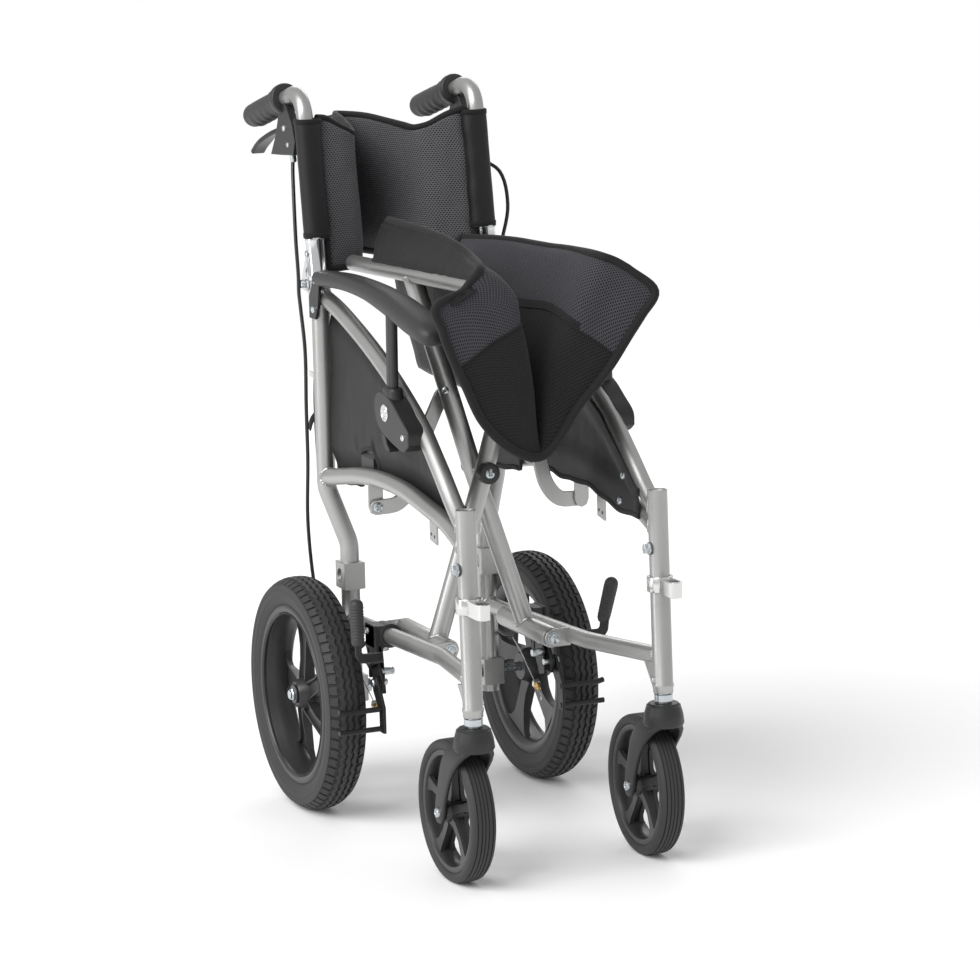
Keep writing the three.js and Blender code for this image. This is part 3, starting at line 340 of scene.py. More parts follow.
def cornered(points, radius, step=8):
    """Straight runs joined by round corners of a radius."""
    points = [Vector(p) for p in points]
    line = [points[0]]
    for before, corner, after in zip(points, points[1:], points[2:]):
        into, out = (corner - before).normalized(), (after - corner).normalized()
        turn = into.angle(out)
        inward = (out - into * out.dot(into)).normalized()
        start = corner - into * radius * math.tan(turn / 2)
        steps = max(2, round(math.degrees(turn) / step))
        line += [start + inward * radius * (1 - math.cos(turn * s / steps))
            + into * radius * math.sin(turn * s / steps)
                 for s in range(steps + 1)]
    return [*line, points[-1]]


def turned(profile, centre, axis, segments=48):
    """A round part from (radius, distance) points along an axis, closed where its radius is 0."""
    axis = Vector(axis).normalized()
    u = axis.orthogonal().normalized()
    w = axis.cross(u)
    turns = [2 * math.pi * s / segments for s in range(segments)]
    return loft([[Vector(centre) + axis * along + (u * math.cos(a) + w * math.sin(a)) * r for a in turns]
                 for r, along in profile], caps=False)


def weld(rail_at, rail_along, rail_radius, post_at, post_along, post_radius, bead=1.9):
    """A rippled bead round the joint where a rail runs into a post."""
    along, post_along = Vector(rail_along).normalized(), Vector(post_along).normalized()
    u = along.orthogonal().normalized()
    w = along.cross(u)
    seam, radii = [], []
    count = 72
    for s in range(count + 1):
        a = 2 * math.pi * s / count
        start = Vector(rail_at) + (u * math.cos(a) + w * math.sin(a)) * rail_radius
        off = start - Vector(post_at)
        p = off - post_along * off.dot(post_along)
        q = along - post_along * along.dot(post_along)
        reach = (-p.dot(q) - math.sqrt(max(0,
            p.dot(q) ** 2 - q.dot(q) * (p.dot(p) - post_radius ** 2)))) / q.dot(q)
        seam.append(start + along * reach)
        radii.append(bead * (1 + 0.16 * math.cos(18 * a)))
    return bar(seam[:-1] + [seam[0]], radii, 8, caps=False)


def plate(outline, first, last, axis="x"):
    """A flat plate between two places along an axis. Its outline is in the other two, in order."""
    order = {"x": lambda a, u, v: (a, u, v), "y": lambda a, u, v: (u, a, v), "z": lambda a, u,
        v: (u, v, a)}[axis]
    return loft([[Vector(order(at, u, v)) for u, v in outline] for at in (first, last)])


def block(x0, x1, y0, y1, z0, z1):
    return plate([(y0, z0), (y1, z0), (y1, z1), (y0, z1)], x0, x1)


def screw_head(centre, axis, radius, height):
    """A pan head with a cross recess, standing on a surface."""
    axis = Vector(axis).normalized()
    u = axis.orthogonal().normalized()
    w = axis.cross(u)
    rings, sides_round = [], 24
    for r, along, sunk in [(1, -0.5, 0), (1, 0.35, 0), (0.92, 0.7, 0), (0.72, 0.9, 0), (0.5, 1, 0),
        (0.36, 1, 0.45), (0.1, 1, 0.6)]:
        ring = []
        for s in range(sides_round):
            a = 2 * math.pi * s / sides_round
            slot_in = sunk if s % 6 in (0, 5, 1) else sunk * 0.15
            ring.append(Vector(centre) + axis * height * (along - slot_in)
                + (u * math.cos(a) + w * math.sin(a)) * radius * r)
        rings.append(ring)
    return loft(rings)


def hex_bolt(centre, axis, radius, height):
    return turned([(0, 0), (radius * 1.25, 0), (radius * 1.25, height * 0.25), (0, height * 0.25)], centre,
        axis, 24), \
        turned([(0, height * 0.25), (radius, height * 0.25), (radius, height * 0.9),
        (radius * 0.85, height), (0, height)], centre, axis, 6)


def leg_y_at(z):
    return 9 * (z - 221.5) / (478 - 221.5)


def rail_x(y):
    return leg_x + (upright_x - leg_x) * y / 488


top_rail = [(488, 686), (427, 674), (362, 655), (296, 632), (228, 603), (140, 556), (85, 512), (44, 476)]
seat_side_rail = [(488, 441), (420, 453), (360, 463), (281, 470), (205, 469), (131, 460), (66, 449)]


def rail_line(places, k, foot_z):
    return smooth_line([*[(k * rail_x(y), y, z) for y, z in places], (k * leg_x, leg_y_at(foot_z), foot_z)],
        6)


upright_lines = {}
for side, k in sides.items():
    leg_foot, leg_top = Vector((k * leg_x, 0, 221.5)), Vector((k * leg_x, 9, 478))
    up = (leg_top - leg_foot).normalized()
    tall = (leg_top - leg_foot).length
    leg = turned([(9, 0), (post_r - 0.6, 0), (post_r, 1), (post_r, 6), (post_r + 0.9, 8),
        (post_r + 0.9, 11), (post_r, 13),
                  (post_r, tall - 0.7), (post_r - 0.7, tall), (post_r - 2.0, tall),
                  (post_r - 2.2, tall - 1.6), (0, tall - 1.6)],
                 leg_foot, up, 40)
    upright_lines[side] = cornered([(k * upright_x, 488, 698), (k * upright_x, 488, 428),
        (k * stay_x, 473, 352), (k * stay_x, 472, 128)], 45)
    upright_tube = bar(upright_lines[side], post_r, 40)
    top, lower = rail_line(top_rail, k, 449), rail_line(seat_side_rail, k, 428)
    bottom = cornered([(k * stay_x, 472, 247), (k * stay_x, 160, 260), (k * leg_x, leg_y_at(268), 268)],
        120, 3)
    upright_at, stay_at = Vector((k * upright_x, 488, 600)), Vector((k * stay_x, 472, 200))
    beads = [
        weld(top[2], top[0] - top[2], rail_r, upright_at, (0, 0, 1), post_r),
        weld(lower[2], lower[0] - lower[2], rail_r, upright_at, (0, 0, 1), post_r),
        weld(bottom[1], bottom[0] - bottom[1], rail_r, stay_at, (0, 0, 1), post_r),
        weld(top[-3], top[-1] - top[-3], rail_r, leg_foot, up, post_r),
        weld(lower[-3], lower[-1] - lower[-3], rail_r, leg_foot, up, post_r),
        weld(bottom[-2], bottom[-1] - bottom[-2], rail_r, leg_foot, up, post_r),
    ]
    fit(f"{side}_front_tube", leg, silver, f"frame_{side}", [f"{side}_front_leg"])
    fit(f"{side}_frame_tubes",
        joined(upright_tube, bar(top, rail_r, 36), bar(lower, rail_r, 36), bar(bottom, rail_r, 36), *beads),
        silver, f"frame_{side}",
        [f"{side}_rear_upright", f"{side}_top_rail", f"{side}_seat_side_rail", f"{side}_bottom_rail"])
    # Axle blocks, the upper one with its spare bore left open
    spare_bore = [(9.5 * math.cos(a), 9.5 * math.sin(a)) for a in [2 * math.pi * s / 32 for s in range(32)]]
    blocks = []
    for z in (156, 309.5):
        wall = [(max(-16, min(16, 26 * math.cos(a))), max(-18, min(18, 26 * math.sin(a))))
            for a in [2 * math.pi * s / 32 for s in range(32)]]
        rings = []
        for x, outline, shrink in [(-15, spare_bore, 1), (-15, wall, 0.95), (-14, wall, 1), (14, wall, 1),
            (15, wall, 0.95), (15, spare_bore, 1), (-15, spare_bore, 1)]:
            rings.append([Vector((k * stay_x + x, 472 + u * shrink, z + v * shrink)) for u, v in outline])
        blocks.append(loft(rings, caps=False))
    fit(f"{side}_axle_blocks", joined(*blocks), silver, f"frame_{side}", crease=30)
    # Footrest clamp: a bright band round the leg, open in front as a hook
    x, y = k * leg_x, leg_y_at(360)
    band = turned([(post_r + 0.4, -10), (post_r + 3.4, -10), (post_r + 4, -9), (post_r + 4, 9),
        (post_r + 3.4, 10), (post_r + 0.4, 10), (post_r + 0.4, -10)],
                  (x, y, 360), up, 40)
    outer = [(x - 9, -10), (x - 9, -38), (x - 6.5, -44), (x, -47), (x + 6.5, -44), (x + 9, -38), (x + 9, -10)]
    inner = [(x + 6, -10), (x + 6, -37), (x + 4, -40.5), (x, -42), (x - 4, -40.5), (x - 6, -37), (x - 6, -10)]
    hook = plate(outer + inner, 350, 370, "z")
    fit(f"{side}_footrest_socket", joined(band, hook), cut_metal, f"frame_{side}",
        [f"{side}_footrest_clamp"], edge=0.9)
    # Fixings on the frame: the nut behind the leg, the gusset under the bottom rail and its screw
    gusset = plate([(leg_y_at(250) - 3 + 0, 262), (30, 258), (10, 234), (6, 228), (2, 228)],
        k * leg_x - 2 * k - 10, k * leg_x - 2 * k - 6)
    fit(f"{side}_gusset", gusset, silver, f"frame_{side}", edge=0.8)
    tab_y = 122 if k < 0 else 158
    tab_x = k * (rail_x(tab_y) - 4)
    holes = [plate([(tab_y + dy + 2.2 * math.cos(a), 426 + dy * 0.2 + 2.2 * math.sin(a))
        for a in [2 * math.pi * s / 12 for s in range(12)]],
                   tab_x - 1.7, tab_x + 1.7) for dy in (-5, 5)]
    fit(f"{side}_tab", plate([(tab_y - 11, 461), (tab_y - 11, 415), (tab_y + 11, 419), (tab_y + 11, 463)],
        tab_x - 1.5, tab_x + 1.5),
        silver, f"frame_{side}", edge=0.6)
    fit(f"{side}_tab_holes", joined(*holes), black_plastic, f"frame_{side}")
    nut_at = (k * leg_x - 13, leg_y_at(405), 405)
    fit(f"{side}_fixings", joined(*hex_bolt(nut_at, (-1, 0.15, 0), 6.5, 8),
        screw_head((k * leg_x - 12 * k, 3, 238), (-k, 0, 0), 4.5, 3)),
        zinc, f"frame_{side}", edge=0.4)


# --- Cross brace ------------------------------------------------------------------------------
# Two crossed silver tubes, welded at the foot to a sleeve that turns on a side frame, and on top to a
# seat rail. A bolt under a black cap joins them in the middle, and curved links square up the sides.

sleeve_x, sleeve_z, pivot_z = 72, 257, 475
link_foot_z = 431
seat_rail_front, seat_rail_rear = (64, 738), (486, 724)
braces = {"b": (-1, 247, "left"), "a": (1, 285, "right")}
for key, (k, y, seat_side) in braces.items():
    top_x = -k * 77
    line = cornered([(k * sleeve_x, y, sleeve_z), (0, y, pivot_z), (top_x, y, 731)], 300, 1)
    sleeve = turned([(9, 205), (13, 205), (13.5, 206), (13.5, 352), (13, 353), (9, 353), (9, 205)],
        (k * sleeve_x, 0, sleeve_z), (0, 1, 0), 40)
    rail_ends = [Vector((top_x, *seat_rail_front)), Vector((top_x, *seat_rail_rear))]
    seams = [weld(line[0] + (line[1] - line[0]) * 0.5, line[0] - line[1], 12.5, (k * sleeve_x, y, sleeve_z),
        (0, 1, 0), 13.5),
             weld(line[-1] + (line[-2] - line[-1]) * 0.4, line[-1] - line[-2], 12.5, (top_x, y, 731),
             (0, 1, -0.033), 10.5)]
    fit(f"brace_{key}_tube", joined(bar(line, 12.5, 40), sleeve, bar(rail_ends, 10.5, 36), *seams),
        silver, f"cross_{key}", [f"brace_{key}"])
    bolts = []
    for end, out in ((205, -1), (353, 1)):
        bolts += hex_bolt((k * sleeve_x, end + out * 4.5, sleeve_z), (0, out, 0), 7, 6)
        lug = [(k * (stay_x - 3), 269), (k * 72, 269), (k * 63, 265), (k * 60, 257), (k * 63, 249),
            (k * 72, 245), (k * (stay_x - 3), 245)]
        near, far = sorted((end + out * 0.5, end + out * 4.3))
        fit(f"brace_lug_{key}_{'front' if out < 0 else 'rear'}", plate(lug, near, far, "y"), silver,
            f"frame_{'right' if k < 0 else 'left'}", edge=1.2)
    fit(f"sleeve_bolts_{key}", joined(*bolts), zinc, f"frame_{'right' if k < 0 else 'left'}",
        edge=0.4)
    washer = [turned([(6, end), (12.9, end), (12.9, end + out * 2.2), (6, end + out * 2.2), (6, end)],
        (k * sleeve_x, 0, sleeve_z), (0, 1, 0), 32)
              for end, out in ((205.5, 1), (352.5, -1))]
    fit(f"sleeve_bushes_{key}", joined(*washer), black_plastic, f"cross_{key}")
fit("pivot_cap", turned([(5, 227), (11, 226), (13.4, 227), (14, 229), (14, 240), (12, 241), (0, 241),
    (0, 230), (5, 230), (5, 227)],
                        (0, 0, pivot_z), (0, 1, 0), 40), black_plastic, "cross_b")
fit("pivot_bolt", joined(screw_head((0, 230, pivot_z), (0, -1, 0), 7, 4.5),
    *hex_bolt((0, 298, pivot_z), (0, 1, 0), 8, 8),
                         turned([(0, 235), (5, 235), (5, 300), (0, 300)], (0, 0, pivot_z), (0, 1, 0), 24)),
    zinc, "cross_b")
fit("brace_a_screw", screw_head((-39.5, 273.5, 580), (-0.3, -1, 0.1), 4.5, 3), zinc, "cross_a")

link_rows = {"right": (-1, 304.0), "left": (1, 229.7)}
for side, (k, y) in link_rows.items():
    foot = rail_x(y)
    middle = smooth_line([(k * x, y, z) for x, z in [(foot, link_foot_z), (foot - 29, 434), (foot - 47, 454),
        (68, 495), (50, 534), (33, 568)]], 6)
    outline_a, outline_b = [], []
    for p, (u, w) in zip(middle, cross_frames(middle, (0, 0, 1))):
        flat = (u if abs(u.y) < 0.5 else w) * 10
        outline_a.append((p.x + flat.x, p.z + flat.z))
        outline_b.append((p.x - flat.x, p.z - flat.z))

    def round_end(p, start, sweep=math.pi):
        return [(p.x + 10 * math.cos(start + sweep * s / 8), p.z + 10 * math.sin(start + sweep * s / 8))
            for s in range(1, 8)]

    a_end = outline_a[-1]
    end_from = math.atan2(a_end[1] - middle[-1].z, a_end[0] - middle[-1].x)
    way = (middle[-1] - middle[-2])
    turn = 1 if (-math.sin(end_from) * way.x + math.cos(end_from) * way.z) > 0 else -1
    start_from = math.atan2(outline_b[0][1] - middle[0].z, outline_b[0][0] - middle[0].x)
    back_way = (middle[0] - middle[1])
    turn_b = 1 if (-math.sin(start_from) * back_way.x + math.cos(start_from) * back_way.z) > 0 else -1
    outline = outline_a + round_end(middle[-1], end_from,
        turn * math.pi) + outline_b[::-1] + round_end(middle[0], start_from, turn_b * math.pi)
    fit(f"{side}_curved_link", plate(outline, y - 2.5, y + 2.5, "y"), silver, f"{side}_link",
        [f"{side}_fold_link"], edge=1.2)
    plate_y = y - k * 4.8
    bracket = [(k * foot - 10, 466), (k * foot - 10, link_foot_z), (k * foot - 7, 423), (k * foot, 420),
        (k * foot + 7, 423), (k * foot + 10, link_foot_z), (k * foot + 10, 466)]
    fit(f"{side}_link_bracket", plate(bracket, plate_y - 2, plate_y + 2, "y"), silver, f"frame_{side}",
        edge=0.8)
    fit(f"{side}_link_bolts", joined(screw_head((k * foot, y + k * 2.6, link_foot_z), (0, k, 0), 7, 4),
                                     turned([(0, -4.5), (4, -4.5), (4, 4.5), (0, 4.5)],
                                     (k * foot, y, link_foot_z),
                                     (0, 1, 0), 20)),
        zinc, f"frame_{side}")
    saddle = bpy.data.objects[f"{side}_rail_saddle"]
    saddle.data.materials.clear()
    saddle.data.materials.append(black_plastic)


# --- Rear wheels ------------------------------------------------------------------------------
# 12.5 inch wheels with solid tyres on deep-dished black nylon rims. The rim has a broad outer
# flange, a deep barrel and five wide curved spokes set inwards. A zinc nut holds it on the axle.

tyre_black = coated("tyre_rubber", (0.016, 0.016, 0.0165), (0.034, 0.034, 0.035), (0.55, 0.72),
    grain_scale=800.0, bump=0.3)
rim_black = coated("rim_nylon", (0.016, 0.016, 0.017), (0.030, 0.030, 0.031), (0.3, 0.42),
    grain_scale=900.0, bump=0.2)

# Copies of one shape, evenly round an axle along X, then yawed and moved to the wheel's place
round_axle = bpy.data.node_groups.new("copies_round_axle", "GeometryNodeTree")
sockets_in = [("Geometry", "Geometry"), ("Copies", "Int"), ("Yaw", "Float"), ("Centre", "Vector"),
    ("Finish", "Material")]
for label, kind in sockets_in:
    round_axle.interface.new_socket(label, in_out="INPUT", socket_type=f"NodeSocket{kind}")
round_axle.interface.new_socket("Geometry", in_out="OUTPUT", socket_type="NodeSocketGeometry")
asked = round_axle.nodes.new("NodeGroupInput").outputs
points = node_in(round_axle, "GeometryNodePoints", s0=asked["Copies"])
step_by = node_in(round_axle, "ShaderNodeMath", operation="DIVIDE", s0=2 * math.pi, s1=asked["Copies"])
angle_of = node_in(round_axle, "ShaderNodeMath", operation="MULTIPLY",
    s0=node_in(round_axle, "GeometryNodeInputIndex").outputs[0], s1=step_by.outputs[0])
turn_to = node_in(round_axle, "ShaderNodeCombineXYZ", s0=angle_of.outputs[0])
spread = node_in(round_axle, "GeometryNodeInstanceOnPoints")
round_axle.links.new(points.outputs[0], spread.inputs["Points"])
round_axle.links.new(asked["Geometry"], spread.inputs["Instance"])
round_axle.links.new(turn_to.outputs[0], spread.inputs["Rotation"])
real = node_in(round_axle, "GeometryNodeRealizeInstances", s0=spread.outputs[0])
yaw_by = node_in(round_axle, "ShaderNodeCombineXYZ", s2=asked["Yaw"])
moved = node_in(round_axle, "GeometryNodeTransform")
round_axle.links.new(real.outputs[0], moved.inputs["Geometry"])
round_axle.links.new(asked["Centre"], moved.inputs["Translation"])
round_axle.links.new(yaw_by.outputs[0], moved.inputs["Rotation"])
painted = node_in(round_axle, "GeometryNodeSetMaterial")
round_axle.links.new(moved.outputs[0], painted.inputs["Geometry"])
round_axle.links.new(asked["Finish"], painted.inputs["Material"])
ended = round_axle.nodes.new("NodeGroupOutput")
round_axle.links.new(painted.outputs[0], ended.inputs[0])


def baked(made, tree, values, crease=35):
    """Run a geometry node tree on an object with the named inputs, and keep the result as its mesh."""
    step = made.modifiers.new(tree.name, "NODES")
    step.node_group = tree
    names = {item.name: item.identifier for item in tree.interface.items_tree if item.in_out == "INPUT"}
    for label, value in values.items():
        step[names[label]] = value
    bpy.context.view_layer.update()
    mesh = bpy.data.meshes.new_from_object(made.evaluated_get(bpy.context.evaluated_depsgraph_get()))
    made.modifiers.clear()
    made.data = mesh
    mesh.shade_smooth()
    mesh.set_sharp_from_angle(angle=math.radians(crease))
    return made


def round_the_axle(name, part, copies, centre, material, body, yaw=0.0, stands_for=(), crease=35):
    """One spoke or tread block, given about the axle in millimetres, repeated round the wheel."""
    made = new_object(name, ([Vector(v) - Vector((0, leg_y * 1000, 0)) for v in part[0]], part[1]),
        material, crease)
    baked(made, round_axle, {"Copies": copies, "Yaw": yaw, "Centre": tuple(place(*centre)),
        "Finish": material}, crease)
    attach(made, body)
    if stands_for:
        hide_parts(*stands_for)
    return made


wheel_x, axle_y, tyre_r = 167, 470, 156
tread_depth, tread_half = 2.6, 26
tread_copies = 66


def crown(across):
    """The tyre's radius at a distance from its middle plane."""
    return tyre_r - 9.5 * (abs(across) / tread_half) ** 2.6


def on_tread(across, sink, angle):
    r = crown(across) - sink
    return Vector((across, r * math.sin(angle), r * math.cos(angle)))


def tread_patch():
    """One step of the tread: three waved ribs, and a notched block on each shoulder."""
    pitch = 2 * math.pi / tread_copies
    parts = []
    steps = 6
    for middle, half, swing in ((-8.6, 2.9, 1.3), (0, 3.0, 1.3), (8.6, 2.9, 1.3)):
        rings = []
        for s in range(steps + 1):
            angle = pitch * (s / steps - 0.5)
            shift = middle + swing * math.sin(2 * math.pi * s / steps)
            rings.append([on_tread(shift - half, tread_depth, angle), on_tread(shift - half + 0.6, 0, angle),
                          on_tread(shift + half - 0.6, 0, angle), on_tread(shift + half, tread_depth, angle)])
        parts.append(([v for ring in rings for v in ring], grid(len(rings), 4, closed=False)))
    for hand in (-1, 1):
        outline = [(14.2, -0.42), (15.6, -0.1), (14.2, 0.3), (19, 0.42), (24.8, 0.4), (24.2, 0.02),
            (24.8, -0.3), (19, -0.42)]
        low = [on_tread(hand * a, tread_depth, pitch * t) for a, t in outline]
        high = [on_tread(hand * (a - (0.5 if a > 20 else -0.4)), 0, pitch * t * 0.92) for a, t in outline]
        parts.append(loft([low, high]))
    return joined(*parts)


for side, k in sides.items():
    centre = (k * wheel_x, axle_y, tyre_r)
    floor_of = [(r - (tread_depth if abs(a) < 25.2 else 0), a) for a, r in
                [(a, crown(a)) for a in (-25.2, -22, -17, -12, -6, 0, 6, 12, 17, 22, 25.2)]]
    wall = [(25.9, 143.6), (26.0, 141), (25.5, 140.4), (25.7, 139.6), (25.9, 136), (25.6, 131),
        (25.0, 130.4), (24.9, 129.4), (24.2, 126), (22.2, 122.4), (21, 120.3)]
    tyre = turned([(120.3, -21)] + [(r, -a) for a, r in wall[::-1]] + floor_of + [(r, a) for a,
        r in wall] + [(120.3, -21)], centre, (k, 0, 0), 120)
    fit(f"{side}_tyre_body", tyre, tyre_black, f"{side}_wheel", [f"{side}_rear_tyre"],
        crease=50)
    round_the_axle(f"{side}_tyre_tread", tread_patch(), tread_copies, centre, tyre_black, f"{side}_wheel")
    rim = turned([(120, 21), (118.5, 22.4), (114, 22.9), (110.5, 22.2), (108.4, 20), (107.6, 16),
        (104.5, 8), (102.4, -2), (102, -11),
                  (104, -17), (109, -20.6), (117, -21.6), (120, -20.5), (120, 21)], centre, (k, 0, 0), 120)
    lip = turned([(109.6, 21.4), (108.6, 23.4), (107.2, 21.5), (107.6, 18)], centre, (k, 0, 0), 120)
    hub = turned([(6.6, 20), (12, 20), (12.6, 19.4), (12.6, 16), (15.2, 16), (16.6, 17.6), (18, 16),
        (19.5, 9), (24, 2), (24, -12), (18, -24), (6.6, -24), (6.6, 20)],
                 centre, (k, 0, 0), 56)
    fit(f"{side}_rim", joined(rim, lip, hub), rim_black, f"{side}_wheel",
        [f"{side}_wheel_rim"], crease=40)
    rings = []
    for r, lead, half, face_out, depth in [(15, 0.0, 15, 8, 16), (26, 0.03, 12, 7, 15),
        (45, 0.13, 10.5, 3, 13), (65, 0.22, 12, -1, 11), (84, 0.27, 16, -4, 9), (97, 0.27, 24, -6, 8),
        (104, 0.26, 34, -7, 8)]:
        def at(shift, out):
            return Vector((k * out, r * math.sin(lead + shift / r), r * math.cos(lead + shift / r)))
        rib = 2.4
        rings.append([at(-half, face_out), at(-half + rib, face_out), at(-half + rib + 1, face_out - 4),
            at(half - rib - 1, face_out - 4),
                      at(half - rib, face_out), at(half, face_out), at(half - 1, face_out - depth),
                      at(-half + 1, face_out - depth)])
    round_the_axle(f"{side}_spokes", loft(rings), 5, centre, rim_black, f"{side}_wheel",
        crease=40)
    inner = stay_x - 15.3
    axle = joined(turned([(0, inner - 8), (6, inner - 8), (6, wheel_x + 26), (0, wheel_x + 26)],
        (0, axle_y, tyre_r), (k, 0, 0), 32),
                  turned([(6, inner - 7), (10, inner - 7), (10, inner - 0.4), (6, inner - 0.4)],
                  (0, axle_y, tyre_r), (k, 0, 0), 6),
                  turned([(0, wheel_x + 24), (7.5, wheel_x + 24), (9, wheel_x + 22.5), (9, wheel_x + 18.3),
                  (0, wheel_x + 18.3)], (0, axle_y, tyre_r), (k, 0, 0), 6),
                  turned([(6, stay_x + 15.5), (11, stay_x + 15.5), (11, stay_x + 19), (6, stay_x + 19)],
                  (0, axle_y, tyre_r), (k, 0, 0), 32))
    fit(f"{side}_axle_bolt", axle, zinc, f"frame_{side}", [f"{side}_rear_axle"], edge=0.5)


# --- Casters ----------------------------------------------------------------------------------
# 7 inch black casters. A moulded fork arches over each wheel and trails behind its swivel stem, and
# the solid tyre has three fine grooves round it. The left one stands turned a little.

fork_black = coated("fork_nylon", (0.009, 0.009, 0.010), (0.018, 0.018, 0.019), (0.38, 0.5),
    grain_scale=1000.0, bump=0.3)
trail, caster_r = 59, 90
yaws = {"right": 0.0, "left": math.radians(-2.5)}
arch = [(22, 76.2, 60, 4, 5), (22, 77.5, 60, 8, 6), (22, 81, 60, 11.5, 6), (22, 88, 59.5, 13.4, 6),
    (22, 103, 56, 14, 6), (22.2, 120, 49, 15, 6),
        (22.6, 138, 40, 17, 6.2), (22.8, 152, 31, 20, 7), (22.2, 163, 22, 22.5, 8), (20, 173, 13, 24, 9),
        (15, 181, 6, 25, 11), (8, 186, 3, 25, 13), (0, 188, 2, 25, 14)]
for side, k in sides.items():
    swing = Matrix.Rotation(yaws[side], 3, "Z")
    foot = Vector((k * leg_x, 0, 0))

    def turned_in(part):
        return [swing @ Vector(v) + foot for v in part[0]], part[1]

    rows = [(-x, z, y, half, thick) for x, z, y, half, thick in arch] + [(x, z, y, half, thick) for x, z, y,
        half, thick in arch[-2::-1]]
    path = [Vector((x, 0, z)) for x, z, *_ in rows]
    rings = []
    for p, q, (x, z, y, half, thick) in zip([path[0]] + path[:-1], path[1:] + [path[-1]], rows):
        out = (q - p).normalized().cross(Vector((0, 1, 0)))
        ring = []
        for s in range(20):
            a = 2 * math.pi * s / 20
            c, d = math.cos(a), math.sin(a)
            ring.append(Vector((x, y, z)) + Vector((0, 1, 0)) * half * math.copysign(abs(c) ** 0.45,
                c) + out * thick / 2 * math.copysign(abs(d) ** 0.6, d))
        rings.append(ring)
    crown_top = turned([(0, 180), (24, 180), (26, 184), (24.4, 196), (21.8, 204.6), (21.6, 206),
        (20, 206.4), (19, 208.4), (17.5, 209), (9, 209), (0, 209)],
                       (0, 0, 0), (0, 0, 1), 48)
    neck = turned([(0, 206), (8, 206), (8, 250), (0, 250)], (0, 0, 0), (0, 0, 1), 24)
    fit(f"{side}_fork", turned_in(joined(loft(rings), crown_top)), fork_black, f"{side}_swivel",
        [f"{side}_caster_fork"], crease=50)
    fit(f"{side}_stem", turned_in(joined(neck,
        turned([(8, 212), (11.6, 212), (11.6, 220), (8, 220), (8, 212)], (0, 0, 0), (0, 0, 1), 32))),
        zinc, f"{side}_swivel")
    heads = [screw_head((hand * 25, trail, caster_r), (hand, 0, 0), 6.4, 4) for hand in (-1, 1)]
    fit(f"{side}_caster_bolts",
        turned_in(joined(*heads, turned([(0, -27), (4, -27), (4, 27), (0, 27)], (0, trail, caster_r),
        (1, 0, 0), 24))),
        zinc, f"{side}_swivel")
    half_tread = [(16, 81), (16, 84.6), (15, 87), (13.2, 88.7), (10.8, 89.6), (10.4, 88.3), (9.6, 88.3),
        (9.2, 89.8), (5.4, 90), (5, 88.7), (4.2, 88.7), (3.8, 90), (0.6, 90), (0.4, 88.7)]
    profile = [(77.3, 13), (79, 15.2)] + [(r, a) for a, r in half_tread] + [(r, -a) for a,
        r in half_tread[::-1]] + [(79, -15.2), (77.3, -13), (77.3, 13)]
    fit(f"{side}_caster_tread", turned_in(turned(profile, (0, trail, caster_r), (1, 0, 0), 96)), tyre_black,
        f"{side}_caster",
        [f"{side}_caster_tyre"], crease=32)
    ring_profile = [(77, 13), (74, 14), (70, 13), (68, 9), (67, 0), (68, -9), (70, -13), (74, -14),
        (77, -13), (77, 13)]
    hub_profile = [(4.6, 18), (11, 18), (13, 16), (14, 6), (14, -6), (13, -16), (11, -18), (4.6, -18),
        (4.6, 18)]
    fit(f"{side}_caster_ring",
        turned_in(joined(turned(ring_profile, (0, trail, caster_r), (1, 0, 0), 96),
        turned(hub_profile, (0, trail, caster_r), (1, 0, 0), 40))),
        rim_black, f"{side}_caster", [f"{side}_caster_wheel"], crease=40)
    rings = [[Vector((x * w, y * h, r)) for x, y in ((-1, -1), (-0.4, -1), (-0.3, -0.5), (0.3, -0.5),
        (0.4, -1), (1, -1), (1, 1), (0.4, 1), (0.3, 0.5), (-0.3, 0.5), (-0.4, 1), (-1, 1))]
             for r, w, h in ((10, 12, 7), (20, 9, 5.4), (40, 7.5, 4.8), (58, 8.5, 6), (69, 11, 11))]
    middle = swing @ Vector((0, trail, 0)) + foot
    round_the_axle(f"{side}_caster_spokes", loft(rings), 5, (middle.x, middle.y, caster_r), rim_black,
        f"{side}_caster",
                   yaw=yaws[side], crease=40)


# --- Parking brakes ---------------------------------------------------------------------------
# A black clamp on each bottom rail carries a hanging steel plate. A bent flat lever with a ribbed
# rubber grip works a stop, whose two rods press on the tyre. A bare wire from the handle's cable ends
# in a brass nut on the stop.

brake_plate_x = 121
brake_pivots = ((338, 222), (322, 196))

black_metal = coated("black_steel", (0.009, 0.009, 0.010), (0.02, 0.02, 0.021), (0.28, 0.4), metallic=0.3,
    grain_scale=800.0)
grip_grey = coated("grip_rubber", (0.020, 0.020, 0.021), (0.036, 0.036, 0.037), (0.5, 0.64),
    grain_scale=1300.0, bump=0.3)
brass = coated("brass", (0.55, 0.33, 0.10), (0.80, 0.55, 0.22), (0.2, 0.35), metallic=1.0)


def strap_along(line, half_wide, half_thick, across):
    """A flat bar with rounded edges along a line, its width lying towards across."""
    rings = []
    widths = half_wide if isinstance(half_wide, (list, tuple)) else [half_wide] * len(line)
    for p, (u, w), wide in zip(line, cross_frames(line, across), widths):
        rings.append([Vector(p) + u * wide * a + w * half_thick * b for a, b in
                      ((-1, -0.5), (-0.85, -1), (0.85, -1), (1, -0.5), (1, 0.5), (0.85, 1), (-0.85, 1),
                      (-1, 0.5))])
    return loft(rings)


